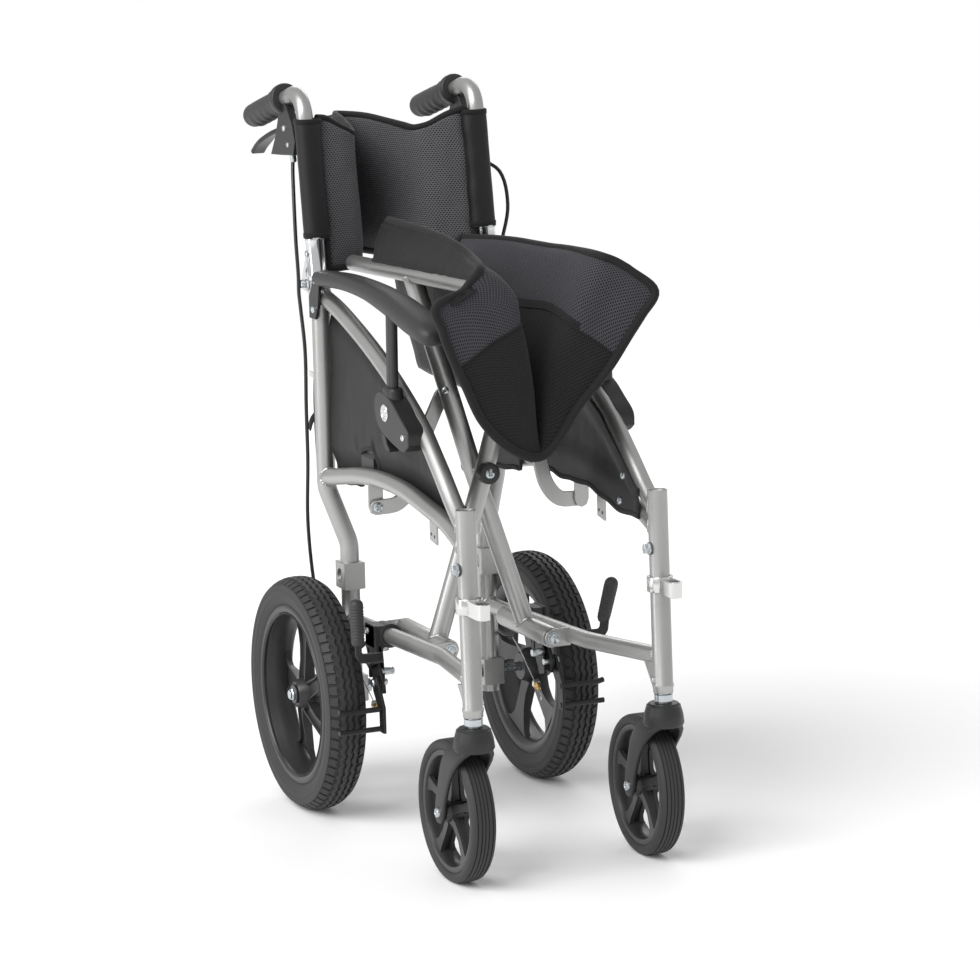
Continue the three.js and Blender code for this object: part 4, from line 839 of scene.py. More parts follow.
lever_grips = {"right": [(268, 262), (271, 322)], "left": [(262, 258), (231, 320)]}
for side, k in sides.items():
    frame_body = f"frame_{side}"
    rail_at = Vector((k * stay_x, 350, 252))
    shoe = turned([(11.2, -16), (15, -16), (16, -15), (16, 15), (15, 16), (11.2, 16), (11.2, -16)], rail_at,
        (0, 312, -13), 40)
    shoe_block = block(*sorted((k * (stay_x + 6), k * 123)), 335, 365, 238, 267)
    hanger = plate([(334, 268), (366, 268), (366, 236), (352, 210), (334, 182), (314, 182), (311, 200),
        (326, 222)], k * 119, k * 123)
    inner_plate = plate([(330, 240), (362, 240), (356, 206), (338, 176), (322, 180), (326, 214)], k * 113,
        k * 115.5)
    fit(f"{side}_brake_clamp", joined(shoe, shoe_block), black_plastic, frame_body,
        [f"{side}_brake_bracket"], edge=1.6)
    fit(f"{side}_brake_plates",
        joined(hanger, inner_plate, block(*sorted((k * 112, k * 123)), 352, 358, 196, 236)), black_metal,
        frame_body, edge=0.7)
    rivets = [turned([(0, -9), (4, -9), (4, 9.5), (5.6, 9.5), (5.6, 11.5), (4.6, 12.6), (0, 12.6)],
        (k * brake_plate_x, y, z), (k, 0, 0), 24)
              for y, z in brake_pivots]
    barrel = turned([(0, -9), (4.4, -9), (5, -8), (5, 8), (4.4, 9), (0, 9)], (k * 108, 330, 208), (1, 0, 0),
        28)
    fit(f"{side}_brake_rivets", joined(*rivets, barrel, screw_head((k * 123, 356, 258), (k, 0, 0), 4.6, 3),
                                      *hex_bolt((k * (stay_x + 2), 352, 236), (0, 0, -1), 5.5, 6)),
        zinc, frame_body, edge=0.3)
    washers = [turned([(4.2, 2.4), (9, 2.4), (9, 3.6), (4.2, 3.6), (4.2, 2.4)], (k * brake_plate_x, y, z),
        (k, 0, 0),
        28) for y, z in brake_pivots]
    fit(f"{side}_brake_washers", joined(*washers), black_metal, frame_body)
    # Lever: a flat bar bent outwards under its rubber grip
    plane = k * 127.8
    (y0, z0), (y1, z1) = lever_grips[side]
    bend = cornered([(plane, 334, 224), (plane, 294, 236), (k * 172, y0, z0 - 18),
        (k * 172, y0 + (y1 - y0) * 0.3, z0 + (z1 - z0) * 0.3)], 12, 8)
    eye = turned([(4.5, -2.5), (10, -2.5), (10, 2.5), (4.5, 2.5), (4.5, -2.5)], (plane, *brake_pivots[0]),
        (1, 0, 0), 32)
    fit(f"{side}_brake_arm", joined(strap_along(bend, 6.4, 2.4, (0, 0.35, 1)), eye), black_metal,
        f"{side}_brake", [f"{side}_brake_lever"], edge=0.4)
    low, high = Vector((k * 172, y0, z0)), Vector((k * 172, y1, z1))
    count = 64
    grip_line, grip_radii = [], []
    for s in range(count + 1):
        t = s / count
        grip_line.append(low.lerp(high, t))
        ribbed = 0.45 * math.cos(2 * math.pi * t * 15) if 0.12 < t < 0.82 else 0
        grip_radii.append(max(0.8, (8.3 + 0.9 * t + ribbed) * min(1,
            (1 - ((t - 0.86) / 0.14) ** 2) ** 0.5 if t > 0.86 else 1) * (0.85 + 0.15 * min(1, t / 0.05))))
    fit(f"{side}_brake_grip", bar(grip_line, grip_radii, 32), grip_grey, f"{side}_brake",
        crease=60)
    # Stop: a cranked plate and two rods that reach out in front of the tyre
    stop = plate([(331, 194), (327, 204), (317, 205), (310, 196), (293, 168), (293, 134), (307, 134),
        (308, 160), (327, 184)], plane - 2, plane + 2)
    rods = [bar(cornered([(plane - k * 3, 300, z), (k * 180, 300, z),
        (k * 189, 300, z + (2 if z > 150 else 0))], 4), 3.6, 16) for z in (166, 140)]
    fit(f"{side}_stop_rods", joined(stop, *rods), black_metal, f"{side}_stop",
        [f"{side}_brake_stop"], edge=0.6)
    nut_at = Vector((k * 116, 352, 157))
    fit(f"{side}_wire_nut", joined(turned([(1, -5), (4.6, -5), (4.6, 3), (3.4, 3.6), (3.4, 7), (1, 7),
        (1, -5)], nut_at, (0, -0.85, -0.5), 6)),
        brass, frame_body, edge=0.3)
    fit(f"{side}_nut_collar", turned([(3, -7), (6.4, -7), (6.4, -2), (3, -2), (3, -7)], nut_at,
        (0, -0.85, -0.5), 4), cut_metal, frame_body, edge=0.5)
    wire = smooth_line([(k * 118, 440, 210), (k * 117, 400, 188), (k * 116, 366, 165), nut_at,
        (k * 115, 340, 150), (k * 113, 334, 141)], 5)
    fit(f"{side}_bare_wire", bar(wire, 0.8, 8), cut_metal, frame_body)


# --- Armrests ---------------------------------------------------------------------------------
# Each pad is self-skinned foam over an aluminium core. It hinges on a black plate behind the seat and
# stands on a fluted black post, whose foot sits in a moulded clamp on the top rail. A trigger under
# the clamp lets the post go, and the armrest lifts back.

pad_foam = coated("pad_foam", (0.016, 0.016, 0.0165), (0.028, 0.028, 0.029), (0.42, 0.56),
    grain_scale=1500.0, bump=0.35)
pad_rows = [(477, 709, 704, 6), (475, 716, 701, 20), (468, 719.5, 699, 25), (440, 722, 701, 28),
    (370, 726, 704, 31), (292, 725, 701, 35), (212, 719, 689, 40),
            (150, 709, 677, 44), (115, 702, 671, 45), (96, 697, 668, 43), (86, 692, 668, 38),
            (80, 687, 670, 29), (77, 682, 674, 14)]


def rounded(centre, u, w, half_u, half_w, power=2.6, count=28):
    """A ring of points between an ellipse and a box."""
    ring = []
    for s in range(count):
        a = 2 * math.pi * s / count
        c, d = math.cos(a), math.sin(a)
        ring.append(Vector(centre) + u * half_u * math.copysign(abs(c) ** (2 / power),
            c) + w * half_w * math.copysign(abs(d) ** (2 / power), d))
    return ring


X, Y, Z = Vector((1, 0, 0)), Vector((0, 1, 0)), Vector((0, 0, 1))
for side, k in sides.items():
    fine_rows = smooth_line([(y, top, low) for y, top, low, _ in pad_rows], 5)
    widths = smooth_line([(wide, 0, 0) for *_, wide in pad_rows], 5)
    rings = [rounded((k * 130, y, (top + low) / 2), X, Z, wide.x / 2, (top - low) / 2, 2.7)
        for (y, top, low), wide in zip(fine_rows, widths)]
    pad = fit(f"{side}_arm_pad", loft(rings), pad_foam, f"{side}_arm", [f"{side}_armrest"],
        crease=70)
    post_rings = []
    for z, y in ((694, 192), (690, 192), (600, 194.5), (578, 195)):
        ring = []
        for s in range(64):
            a = 2 * math.pi * s / 64
            flute = 0.93 if (s % 8 in (3, 4, 5)) and abs(math.cos(a)) < 0.92 else 1.0
            ring.append(Vector((k * 144.5 + 5.8 * flute * math.copysign(abs(math.sin(a)) ** 0.7, math.sin(a)),
                                y + 10.4 * math.copysign(abs(math.cos(a)) ** 0.7, math.cos(a)), z)))
        post_rings.append(ring)
    fit(f"{side}_arm_post", loft(post_rings), black_plastic, f"{side}_arm", crease=25)
    bracket = plate([(492, 655), (492, 684), (471, 711), (465, 716), (456, 714), (453, 707), (460, 672),
        (470, 655)], k * 135.1, k * 139.1)
    fit(f"{side}_arm_plate", bracket, black_metal, f"frame_{side}", edge=1.0)
    fit(f"{side}_arm_screws", joined(screw_head((k * 139.1, 474, 668), (k, 0, 0), 5, 3.2),
        *hex_bolt((k * 139.3, 464, 707), (k, 0, 0), 4, 3)),
        zinc, f"frame_{side}")
    outline = smooth_line([(0, y, z) for y, z in [(122, 540), (124, 556), (150, 574), (182, 592),
        (212, 597), (228, 589), (231, 573), (224, 556), (205, 545), (160, 533), (138, 531), (122, 540)]],
        4)[:-1]
    body_of_clamp = plate([(p.y, p.z) for p in outline], k * 131.5, k * 155.5)
    collar = [rounded((k * 144.5, 194, z), X, Y, 10.6 * g, 17 * g, 2.8, 40) for z,
        g in ((585, 1), (600, 1), (603, 0.94), (604, 0.8))]
    fit(f"{side}_arm_clamp", joined(body_of_clamp, loft(collar)), black_plastic, f"frame_{side}",
        [f"{side}_armrest_clamp"], edge=3.0)
    rivet = turned([(0, 0), (11, 0), (11, 1), (10, 1.8), (8.2, 1.8), (7.6, 1), (5, 1), (4.4, 2), (0, 2)],
        (k * 155.2, 196, 572), (k, 0, 0), 40)
    fit(f"{side}_arm_rivet", joined(rivet, screw_head((k * 155.4, 138, 549), (k, 0, 0), 4.4, 2.6)),
        cut_metal, f"frame_{side}")
    trigger = plate([(217, 544), (219, 539), (208, 524), (196, 521), (194, 525), (203, 531), (210, 542)],
        k * 137.5, k * 151.5)
    fit(f"{side}_arm_trigger", trigger, black_plastic, f"{side}_arm_release",
        [f"{side}_armrest_trigger"], edge=1.4)


# --- Push handles -----------------------------------------------------------------------------
# A silver cane rises from a chromed folding hinge and bends back into the handle. A dark grey rubber
# grip with a raised band and finger ridges is pushed on its end, behind the clamp of the brake lever.

squeeze_pivot = (584, 897)

chrome = coated("chrome", (0.62, 0.63, 0.64), (0.85, 0.86, 0.87), (0.06, 0.16), metallic=1.0,
    grain_scale=200.0, bump=0.05)
handle_turn = math.atan2(951 - 903, 722 - 534.5)
along_handle = Vector((0, math.cos(handle_turn), -math.sin(handle_turn)))
over_handle = Vector((0, math.sin(handle_turn), math.cos(handle_turn)))
grip_from, grip_long = 76.5, 122


def cane_y(z):
    return 496.5 + (534.5 - 496.5) * (z - 703) / (951 - 703)


for side, k in sides.items():
    corner = Vector((k * 122.5, 534.5, 951))
    cane_line = cornered([(k * 122.5, 496.5, 703), corner, (k * 122.5, 718, 904)], 34, 5)
    fit(f"{side}_cane_tube", bar(cane_line, 11, 40), silver, f"{side}_handle", [f"{side}_cane"])
    lean = Vector((0, 534.5 - 496.5, 951 - 703)).normalized()
    socket = turned([(11, 0), (12.4, 0), (13, 1), (13, 8), (12.6, 10), (12.6, 50), (13.2, 52), (13.2, 55),
        (12.4, 56), (11, 56), (11, 0)],
                    (k * 122.5, 496.5, 703), lean, 40)
    cheek = [(500, 712), (520, 700), (520, 691), (527, 685), (536, 686), (540, 695), (539, 703), (514, 748),
        (503.4, 748)]
    cheeks = [plate(cheek, k * upright_x + at, k * upright_x + at + 3) for at in (-6.3, 3.3)]
    bulges = [turned([(0, 0), (7.4, 0), (7.4, 1.6), (5, 3.2), (0, 3.4)], (k * upright_x + at, 512, 712),
        (way, 0, 0), 28) for at, way in ((6.3, 1), (-6.3, -1))]
    fit(f"{side}_hinge_shell", joined(socket, *cheeks, *bulges), chrome, f"{side}_handle",
        edge=0.7)
    lug = plate([(488, 655), (488, 687), (524, 704), (535, 704), (540, 697), (539, 690), (532, 685)],
        k * upright_x - 3, k * upright_x + 3)
    ferrule = turned([(12.7, -20), (13.6, -19), (13.6, 2), (12.7, 4), (0, 4)], (k * upright_x, 488, 695),
        (0, 0, 1), 40)
    fit(f"{side}_hinge_lug", joined(lug, ferrule), cut_metal, f"frame_{side}", edge=0.8)
    fit(f"{side}_hinge_pin", joined(turned([(0, -11), (4, -11), (4, 11), (0, 11)],
        (k * upright_x, hinge_y, hinge_z), (1, 0, 0), 24),
                                   screw_head((k * upright_x + k * 9.5, hinge_y, hinge_z), (k, 0, 0), 6,
                                   3.4)),
                                   zinc, f"frame_{side}")
    fit(f"{side}_cane_screw", screw_head((k * (122.5 + 12.7), cane_y(738), 738), (k, 0, 0), 4.6, 3), zinc,
        f"{side}_handle")
    # Rubber grip: a raised band, then finger ridges underneath, and a rounded end
    rings = []
    for s in range(91):
        t = s / 90
        d = grip_long * t
        if d < 20:
            r = 18.4 - (0.8 if d < 1.5 else 0) - (1.2 if 15.5 < d else 0)
        else:
            r = 16.2 + 0.5 * math.sin(math.pi * (d - 20) / 100)
        if d > 112:
            r = max(2.0, (r - 7) + 7 * max(0.0, 1 - ((d - 112) / 10) ** 2) ** 0.5)
        ring = []
        for c in range(40):
            a = 2 * math.pi * c / 40
            below = max(0.0, -math.sin(a)) ** 1.5
            ridge = 2.6 * below * (0.5 - 0.5 * math.cos(2 * math.pi * (d - 26) / 19)) if 26 < d < 102 else 0
            ring.append(corner + along_handle * (grip_from + d)
                + (X * math.cos(a) + over_handle * math.sin(a)) * (r - 0.6 * below + ridge))
        rings.append(ring)
    fit(f"{side}_rubber_grip", loft(rings), grip_grey, f"{side}_handle",
        [f"{side}_hand_grip"], crease=50)
    clamp_ring = turned([(11.2, -15), (19, -15), (20.6, -13.5), (21, -11), (21, -5), (20.2, -1.5),
        (18, -0.5), (11.2, -0.5), (11.2, -15)],
                        corner + along_handle * grip_from, along_handle, 48)
    housing = [(584, 931), (602, 926), (612, 902), (622, 882), (640, 858), (600, 860), (556, 863),
        (549, 880), (560, 905)]
    fit(f"{side}_lever_housing", joined(clamp_ring, plate(housing, k * 118.6, k * 130.4)), black_plastic,
        f"{side}_handle",
        [f"{side}_brake_perch"], edge=2.4)
    fit(f"{side}_housing_screws", joined(screw_head((k * 130.4, *squeeze_pivot), (k, 0, 0), 4.4, 3),
        screw_head((k * 130.4, 572, 876), (k, 0, 0), 3.6, 2.4),
                                        turned([(3, 0), (4.4, 0), (4.4, 12), (3, 14), (3, 0)],
                                        (k * 124, 574, 866), (0, -0.25, -1), 16)),
        zinc, f"{side}_handle")
    lever_line = smooth_line([(k * 124.5, 584, 896.5), (k * 124.5, 612, 893), (k * 124.5, 640, 886),
        (k * 124.5, 668, 876), (k * 124.5, 690, 866), (k * 124.5, 706, 856)], 5)
    wide = [3.2 + 6.5 * min(1, max(0, (s / (len(lever_line) - 1) - 0.25) / 0.4))
        for s in range(len(lever_line))]
    fit(f"{side}_squeeze_lever", joined(strap_along(lever_line, wide, 3.4, (1, 0, 0)),
                                       turned([(3.5, -3.1), (8, -3.1), (8, 3.1), (3.5, 3.1), (3.5, -3.1)],
                                       (k * 124.5, *squeeze_pivot), (1, 0, 0), 28)),
        black_metal, f"{side}_squeeze", [f"{side}_attendant_lever"], edge=1.2)


# --- Skirt guards -----------------------------------------------------------------------------
# A panel of black coated nylon closes each side under the armrest. It is hemmed all round, wraps
# the inner face of both rails, and two screws pin its front corner. Its lower edge hangs in waves.

weave, given, put = effect_group("plain_weave", [("Thread", "Float", 900.0)], [("Height", "Float")])
cloth_at = node_in(weave, "ShaderNodeSeparateXYZ", s0=node_in(weave, "ShaderNodeTexCoord").outputs["Object"])
threads = []
for axis in (1, 2):
    turn = node_in(weave, "ShaderNodeMath", operation="MULTIPLY", s0=cloth_at.outputs[axis],
        s1=given["Thread"])
    threads.append(node_in(weave, "ShaderNodeMath", operation="SINE", s0=turn.outputs[0]).outputs[0])
crossed = node_in(weave, "ShaderNodeMath", operation="MULTIPLY", s0=threads[0], s1=threads[1])
weave.links.new(crossed.outputs[0], put["Height"])


def woven(name, dark, light, rough_range, thread, sheen):
    """Cloth with a plain weave over the grain group's drift of colour."""
    material = coated(name, dark, light, rough_range, grain_scale=420.0, bump=0.25, depth=0.0006,
        Sheen_Weight=sheen, Specular_IOR_Level=0.35)
    tree = material.node_tree
    threads_at = node_in(tree, "ShaderNodeGroup", node_tree=weave, s0=thread)
    relief = node_in(tree, "ShaderNodeBump", s0=0.3, s1=0.0003)
    tree.links.new(threads_at.outputs["Height"], relief.inputs["Height"])
    older = next(n for n in tree.nodes if n.type == "BUMP" and n != relief)
    tree.links.new(older.outputs["Normal"], relief.inputs["Normal"])
    tree.links.new(relief.outputs["Normal"], tree.nodes["Principled BSDF"].inputs["Normal"])
    return material


guard_nylon = woven("guard_nylon", (0.003, 0.003, 0.0033), (0.008, 0.008, 0.0085), (0.42, 0.58), 5200.0, 0.03)
binding_black = woven("binding_tape", (0.003, 0.003, 0.003), (0.008, 0.008, 0.008), (0.7, 0.85), 4200.0, 0.06)


def level_on(places, y):
    """The height of a rail at a distance back, from its listed places."""
    for (y1, z1), (y0, z0) in zip(places, places[1:]):
        if y0 <= y <= y1:
            return z0 + (z1 - z0) * (y - y0) / (y1 - y0)
    return places[0][1] if y > places[0][0] else places[-1][1]


random.seed(7)
for side, k in sides.items():
    columns, rows = 72, 26
    surface_points = []
    for r in range(rows + 1):
        v = r / rows
        for c in range(columns + 1):
            y = 36 + (476 - 36) * c / columns
            low = level_on(seat_side_rail, y) - 12 + 2.4 * math.sin(y * 0.045) + 1.2 * math.sin(y * 0.11 + 1)
            if 318 < y < 384:
                low += 46 * min(1, (y - 318) / 10, (384 - y) / 10)
            high = max(low + 6, level_on(top_rail, y))
            z = low + (high - low) * v
            clear_of_rails = min(z - level_on(seat_side_rail, y), level_on(top_rail, y) - z) - 13
            tuck = min(1, max(0, clear_of_rails / 30))
            sag = 6.5 * tuck * tuck * (3 - 2 * tuck)
            crease = noise.noise(Vector((y * 0.012, z * 0.007, 3.0 * k))) * 3.2 * tuck + noise.noise(
                Vector((y * 0.05, z * 0.02, 9.0))) * 0.8 * tuck
            surface_points.append(Vector((k * (rail_x(y) - 12.4 + sag + crease), y, z)))
    guard_faces = grid(rows + 1, columns + 1, closed=False)
    panel = new_object(f"{side}_guard_panel", (surface_points, guard_faces), guard_nylon, 60)
    wall = panel.modifiers.new("cloth", "SOLIDIFY")
    wall.thickness, wall.offset = 0.0012, 0
    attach(panel, f"frame_{side}")
    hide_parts(f"{side}_skirt_guard")
    hem = [surface_points[c] for c in range(columns + 1)]
    fit(f"{side}_guard_hem", strap_along([p + Vector((0, 0, 2)) for p in hem], 3.4, 1.4, (0, 0, 1)),
        binding_black, f"frame_{side}", crease=60)
    screws = [screw_head((k * (rail_x(y) - 12.6), y, z), (-k, 0, 0.1), 5, 3.4) for y,
        z in ((76, 486), (86, 452))]
    fit(f"{side}_guard_screws", joined(*screws), zinc, f"frame_{side}")


# --- Seat -------------------------------------------------------------------------------------
# One padded cushion on a black nylon sling between the two seat rails. Folding the chair stands its
# halves up in a V, and the front corners fold outwards. Grey spacer mesh covers the sides and black
# the middle, with a black binding sewn round the edge.

# Staggered round holes in a knitted spacer fabric, on the piece's own UV map in millimetres
holes, given, put = effect_group("spacer_holes", [("Pitch", "Float", 4.4), ("Stretch", "Float", 1.0)],
    [("Hole", "Float"), ("Height", "Float")])
flat_at = node_in(holes, "ShaderNodeSeparateXYZ", s0=node_in(holes, "ShaderNodeUVMap",
    uv_map="cloth").outputs[0])
across = node_in(holes, "ShaderNodeMath", operation="DIVIDE", s0=flat_at.outputs[0], s1=given["Pitch"])
rise = node_in(holes, "ShaderNodeMath", operation="DIVIDE", s0=flat_at.outputs[1], s1=given["Pitch"])
rise = node_in(holes, "ShaderNodeMath", operation="MULTIPLY", s0=rise.outputs[0], s1=1.6)
row_no = node_in(holes, "ShaderNodeMath", operation="FLOOR", s0=rise.outputs[0])
half_step = node_in(holes, "ShaderNodeMath", operation="MULTIPLY_ADD", s0=row_no.outputs[0], s1=0.5,
    s2=across.outputs[0])
dx = node_in(holes, "ShaderNodeMath", operation="SUBTRACT", s0=node_in(holes, "ShaderNodeMath",
    operation="FRACT", s0=half_step.outputs[0]).outputs[0], s1=0.5)
dy = node_in(holes, "ShaderNodeMath", operation="SUBTRACT", s0=node_in(holes, "ShaderNodeMath",
    operation="FRACT", s0=rise.outputs[0]).outputs[0], s1=0.5)
dx2 = node_in(holes, "ShaderNodeMath", operation="MULTIPLY", s0=dx.outputs[0], s1=dx.outputs[0])
dy2 = node_in(holes, "ShaderNodeMath", operation="MULTIPLY", s0=dy.outputs[0], s1=dy.outputs[0])
dy3 = node_in(holes, "ShaderNodeMath", operation="MULTIPLY", s0=dy2.outputs[0], s1=given["Stretch"])
far = node_in(holes, "ShaderNodeMath", operation="SQRT", s0=node_in(holes, "ShaderNodeMath",
    operation="ADD", s0=dx2.outputs[0], s1=dy3.outputs[0]).outputs[0])
hole_mask = node_in(holes, "ShaderNodeMapRange", interpolation_type="SMOOTHSTEP", s0=far.outputs[0],
    s1=0.22, s2=0.36, s3=1.0, s4=0.0)
rounded_up = node_in(holes, "ShaderNodeMapRange", interpolation_type="SMOOTHSTEP", s0=far.outputs[0],
    s1=0.16, s2=0.5, s3=0.0, s4=1.0)
holes.links.new(hole_mask.outputs[0], put["Hole"])
holes.links.new(rounded_up.outputs[0], put["Height"])


def spacer_mesh(name, yarn_dark, yarn_light, hole_shade_color, stretch=1.0):
    """Knitted spacer fabric: soft yarn with staggered holes, painted dark for the shade inside them."""
    material = coated(name, yarn_dark, yarn_light, (0.8, 0.95), grain_scale=600.0, Sheen_Weight=0.06,
        Sheen_Roughness=0.5, Specular_IOR_Level=0.25)
    tree = material.node_tree
    shader = tree.nodes["Principled BSDF"]
    knit = node_in(tree, "ShaderNodeGroup", node_tree=holes, s0=4.4, s1=stretch)
    yarn = next(n for n in tree.nodes if n.type == "GROUP" and n.node_tree == grain)
    mixed = node_in(tree, "ShaderNodeMix", data_type="RGBA")
    # Painted shade: the holes take a near-black colour for the shade inside them
    mixed.inputs[7].default_value = (*hole_shade_color, 1)
    tree.links.new(knit.outputs["Hole"], mixed.inputs[0])
    tree.links.new(yarn.outputs["Color"], mixed.inputs[6])
    tree.links.new(mixed.outputs[2], shader.inputs["Base Color"])
    relief = node_in(tree, "ShaderNodeBump", s0=0.7, s1=0.0009)
    tree.links.new(knit.outputs["Height"], relief.inputs["Height"])
    tree.links.new(relief.outputs["Normal"], shader.inputs["Normal"])
    return material


grey_mesh = spacer_mesh("grey_spacer_mesh", (0.040, 0.040, 0.047), (0.068, 0.068, 0.078),
    (0.004, 0.004, 0.005))
black_mesh = spacer_mesh("black_spacer_mesh", (0.010, 0.010, 0.0105), (0.020, 0.020, 0.0205),
    (0.001, 0.001, 0.001))


def spun_between(rows, per_column, per_row):
    """A fine grid of points through rows of control points, one list for each fine row."""
    wide = [smooth_line(row, per_column) for row in rows]
    tall = [smooth_line([row[c] for row in wide], per_row) for c in range(len(wide[0]))]
    return [[tall[c][r] for c in range(len(tall))] for r in range(len(tall[0]))]


def cloth_object(name, fine, materials, pick, puff=None, thick=0.0, lift=None):
    """A cloth surface from fine rows, with its own UV map in millimetres and a material per face."""
    rows, columns = len(fine), len(fine[0])
    mesh = bpy.data.meshes.new(name)
    faces = grid(rows, columns, closed=False)
    mesh.from_pydata([tuple(place(*p)) for row in fine for p in row], [], faces)
    for material in materials:
        mesh.materials.append(material)
    middle_column = columns // 2
    us = [[0.0] * columns for _ in range(rows)]
    vs = [[0.0] * columns for _ in range(rows)]
    for r in range(rows):
        for c in range(middle_column + 1, columns):
            us[r][c] = us[r][c - 1] + (fine[r][c] - fine[r][c - 1]).length
        for c in range(middle_column - 1, -1, -1):
            us[r][c] = us[r][c + 1] - (fine[r][c + 1] - fine[r][c]).length
    for c in range(columns):
        for r in range(1, rows):
            vs[r][c] = vs[r - 1][c] + (fine[r][c] - fine[r - 1][c]).length
    layer = mesh.uv_layers.new(name="cloth")
    for face in mesh.polygons:
        r, c = divmod(face.index, columns - 1)
        face.material_index = pick(r / (rows - 1), c / (columns - 1))
        for corner_index in face.loop_indices:
            vertex = mesh.loops[corner_index].vertex_index
            layer.data[corner_index].uv = (us[vertex // columns][vertex % columns],
                vs[vertex // columns][vertex % columns])
    mesh.shade_smooth()
    made = bpy.data.objects.new(name, mesh)
    bpy.context.scene.collection.objects.link(made)
    if thick:
        wall = made.modifiers.new("thickness", "SOLIDIFY")
        wall.thickness, wall.offset, wall.use_rim = abs(thick) / 1000, -1 if thick > 0 else 1, True
        wall.material_offset = len(materials) - 1
        wall.material_offset_rim = len(materials) - 1
    return made


right_rows = [
    [(-58, 405, 788), (-52, 406, 772), (-46, 408, 748), (-38, 412, 715), (-30, 416, 685), (-20, 420, 650),
    (-9, 424, 615), (0, 428, 592)],
    [(-60, 300, 787), (-53, 300, 770), (-47, 300, 745), (-39, 300, 713), (-30, 300, 680), (-20, 300, 645),
    (-9, 300, 612), (-1, 300, 588)],
    [(-60, 192, 781), (-52, 192, 765), (-45, 190, 742), (-37, 188, 710), (-28, 186, 676), (-18, 184, 642),
    (-8, 182, 605), (-1, 180, 574)],
    [(-63, 122, 769), (-53, 120, 757), (-43, 118, 736), (-35, 117, 705), (-27, 116, 676), (-17, 114, 640),
    (-7, 112, 596), (0, 110, 552)],
    [(-80, 64, 761), (-59, 61, 748), (-37, 58, 722), (-32, 58, 703), (-28, 58, 684), (-22, 60, 655),
    (-12, 68, 615), (2, 74, 531)],
    [(-92, 60, 750), (-102, 53, 737), (-88, 49, 716), (-82, 48, 692), (-71, 48, 662), (-54, 53, 618),
    (-28, 62, 572), (1, 70, 527)],
    [(-104, 56, 738), (-145, 50, 721), (-138, 48, 697), (-131, 47, 674), (-112, 47, 630), (-84, 51, 576),
    (-42, 60, 537), (1, 67, 524)],
]
left_rows = [
    [(75, 470, 750), (69, 468, 745), (60, 465, 728), (52, 460, 704), (40, 452, 672), (27, 444, 642),
    (13, 436, 612), (1, 428, 592)],
    [(82, 325, 760), (73, 325, 755), (63, 325, 738), (55, 325, 712), (43, 325, 678), (28, 325, 642),
    (13, 322, 612), (0, 318, 588)],
    [(83, 220, 763), (74, 220, 758), (64, 218, 742), (54, 214, 716), (41, 208, 684), (26, 200, 646),
    (12, 192, 608), (0, 184, 575)],
    [(86, 140, 766), (76, 140, 760), (65, 138, 745), (55, 134, 719), (43, 130, 688), (27, 124, 648),
    (12, 118, 604), (1, 112, 553)],
    [(84, 60, 767), (75, 58, 749), (64, 57, 727), (53, 57, 706), (42, 58, 676), (31, 62, 647),
    (22, 68, 618), (3, 74, 531)],
    [(98, 54, 761), (111, 44, 737), (96, 45, 712), (81, 46, 688), (66, 49, 659), (51, 55, 630),
    (36, 63, 600), (5, 71, 529)],
    [(112, 48, 752), (141, 31, 723), (124, 33, 695), (106, 36, 668), (88, 41, 640), (69, 49, 612),
    (48, 58, 585), (6, 68, 526)],
]
control = [right + left[-2::-1] for right, left in zip(right_rows, left_rows)]
seat_grid = spun_between(control, 7, 9)
seat_columns = len(seat_grid[0])


def seat_zone(r, c):
    return 1 if 0.262 < c < (0.735 if r < 0.7 else 0.72) else 0


# Padding swells each panel a little between the fold, the seams and the bound edge
for r, row in enumerate(seat_grid):
    for c, point in enumerate(row):
        t, q = r / (len(seat_grid) - 1), c / (seat_columns - 1)
        panel = (q / 0.262, (q - 0.262) / 0.238, (q - 0.5) / 0.225, (q - 0.725) / 0.275)
        swell = max(math.sin(math.pi * part) ** 0.7 for part in panel if 0 <= part <= 1)
        edge_fade = min(1, (1 - t) / 0.12, t / 0.05 + 0.3)
        facing = Vector((0.75 if q < 0.5 else -0.75, -0.65 if t > 0.55 else 0, 0.35)).normalized()
        point += facing * (3.4 * swell * edge_fade + 1.1 * noise.noise(
            Vector((point.x * 0.03, point.y * 0.02, point.z * 0.02))))
seat = cloth_object("seat_cushion", seat_grid, [grey_mesh, black_mesh, guard_nylon], seat_zone, thick=13)
if seat.data.polygons[5 * (seat_columns - 1) + 8].normal.x < 0:
    seat.data.flip_normals()


def across_the_fold(piece):
    """Bake a seat piece's placement into its mesh."""
    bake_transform(piece)


def made_plain(piece):
    """Apply a piece's modifiers, so that what it shows is its own mesh."""
    bpy.context.view_layer.update()
    mesh = bpy.data.meshes.new_from_object(piece.evaluated_get(bpy.context.evaluated_depsgraph_get()))
    piece.modifiers.clear()
    piece.data = mesh
    return piece


made_plain(seat)
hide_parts("right_seat_half", "left_seat_half")
across_the_fold(seat)
edge_line = [row[0] for row in seat_grid] + seat_grid[-1][1:] + [row[-1] for row in seat_grid[-2::-1]]
binding = new_object("seat_binding", bar([p + Vector((0, 0, -1.5)) for p in edge_line], 5.6, 14),
    binding_black, 60)
across_the_fold(binding)
rear_binding = new_object("seat_rear_binding", bar(seat_grid[0], 5.2, 12), binding_black, 60)
across_the_fold(rear_binding)
seam_lines = []
for q in (0.262, 0.725):
    column = round(q * (seat_columns - 1))
    seam_lines.append(bar([row[column] + Vector((0.8 if q < 0.5 else -0.8, -0.6, 0.6))
        for row in seat_grid[2:]], 0.9, 8))
seams = new_object("seat_seams", joined(*seam_lines), binding_black, 60)
across_the_fold(seams)

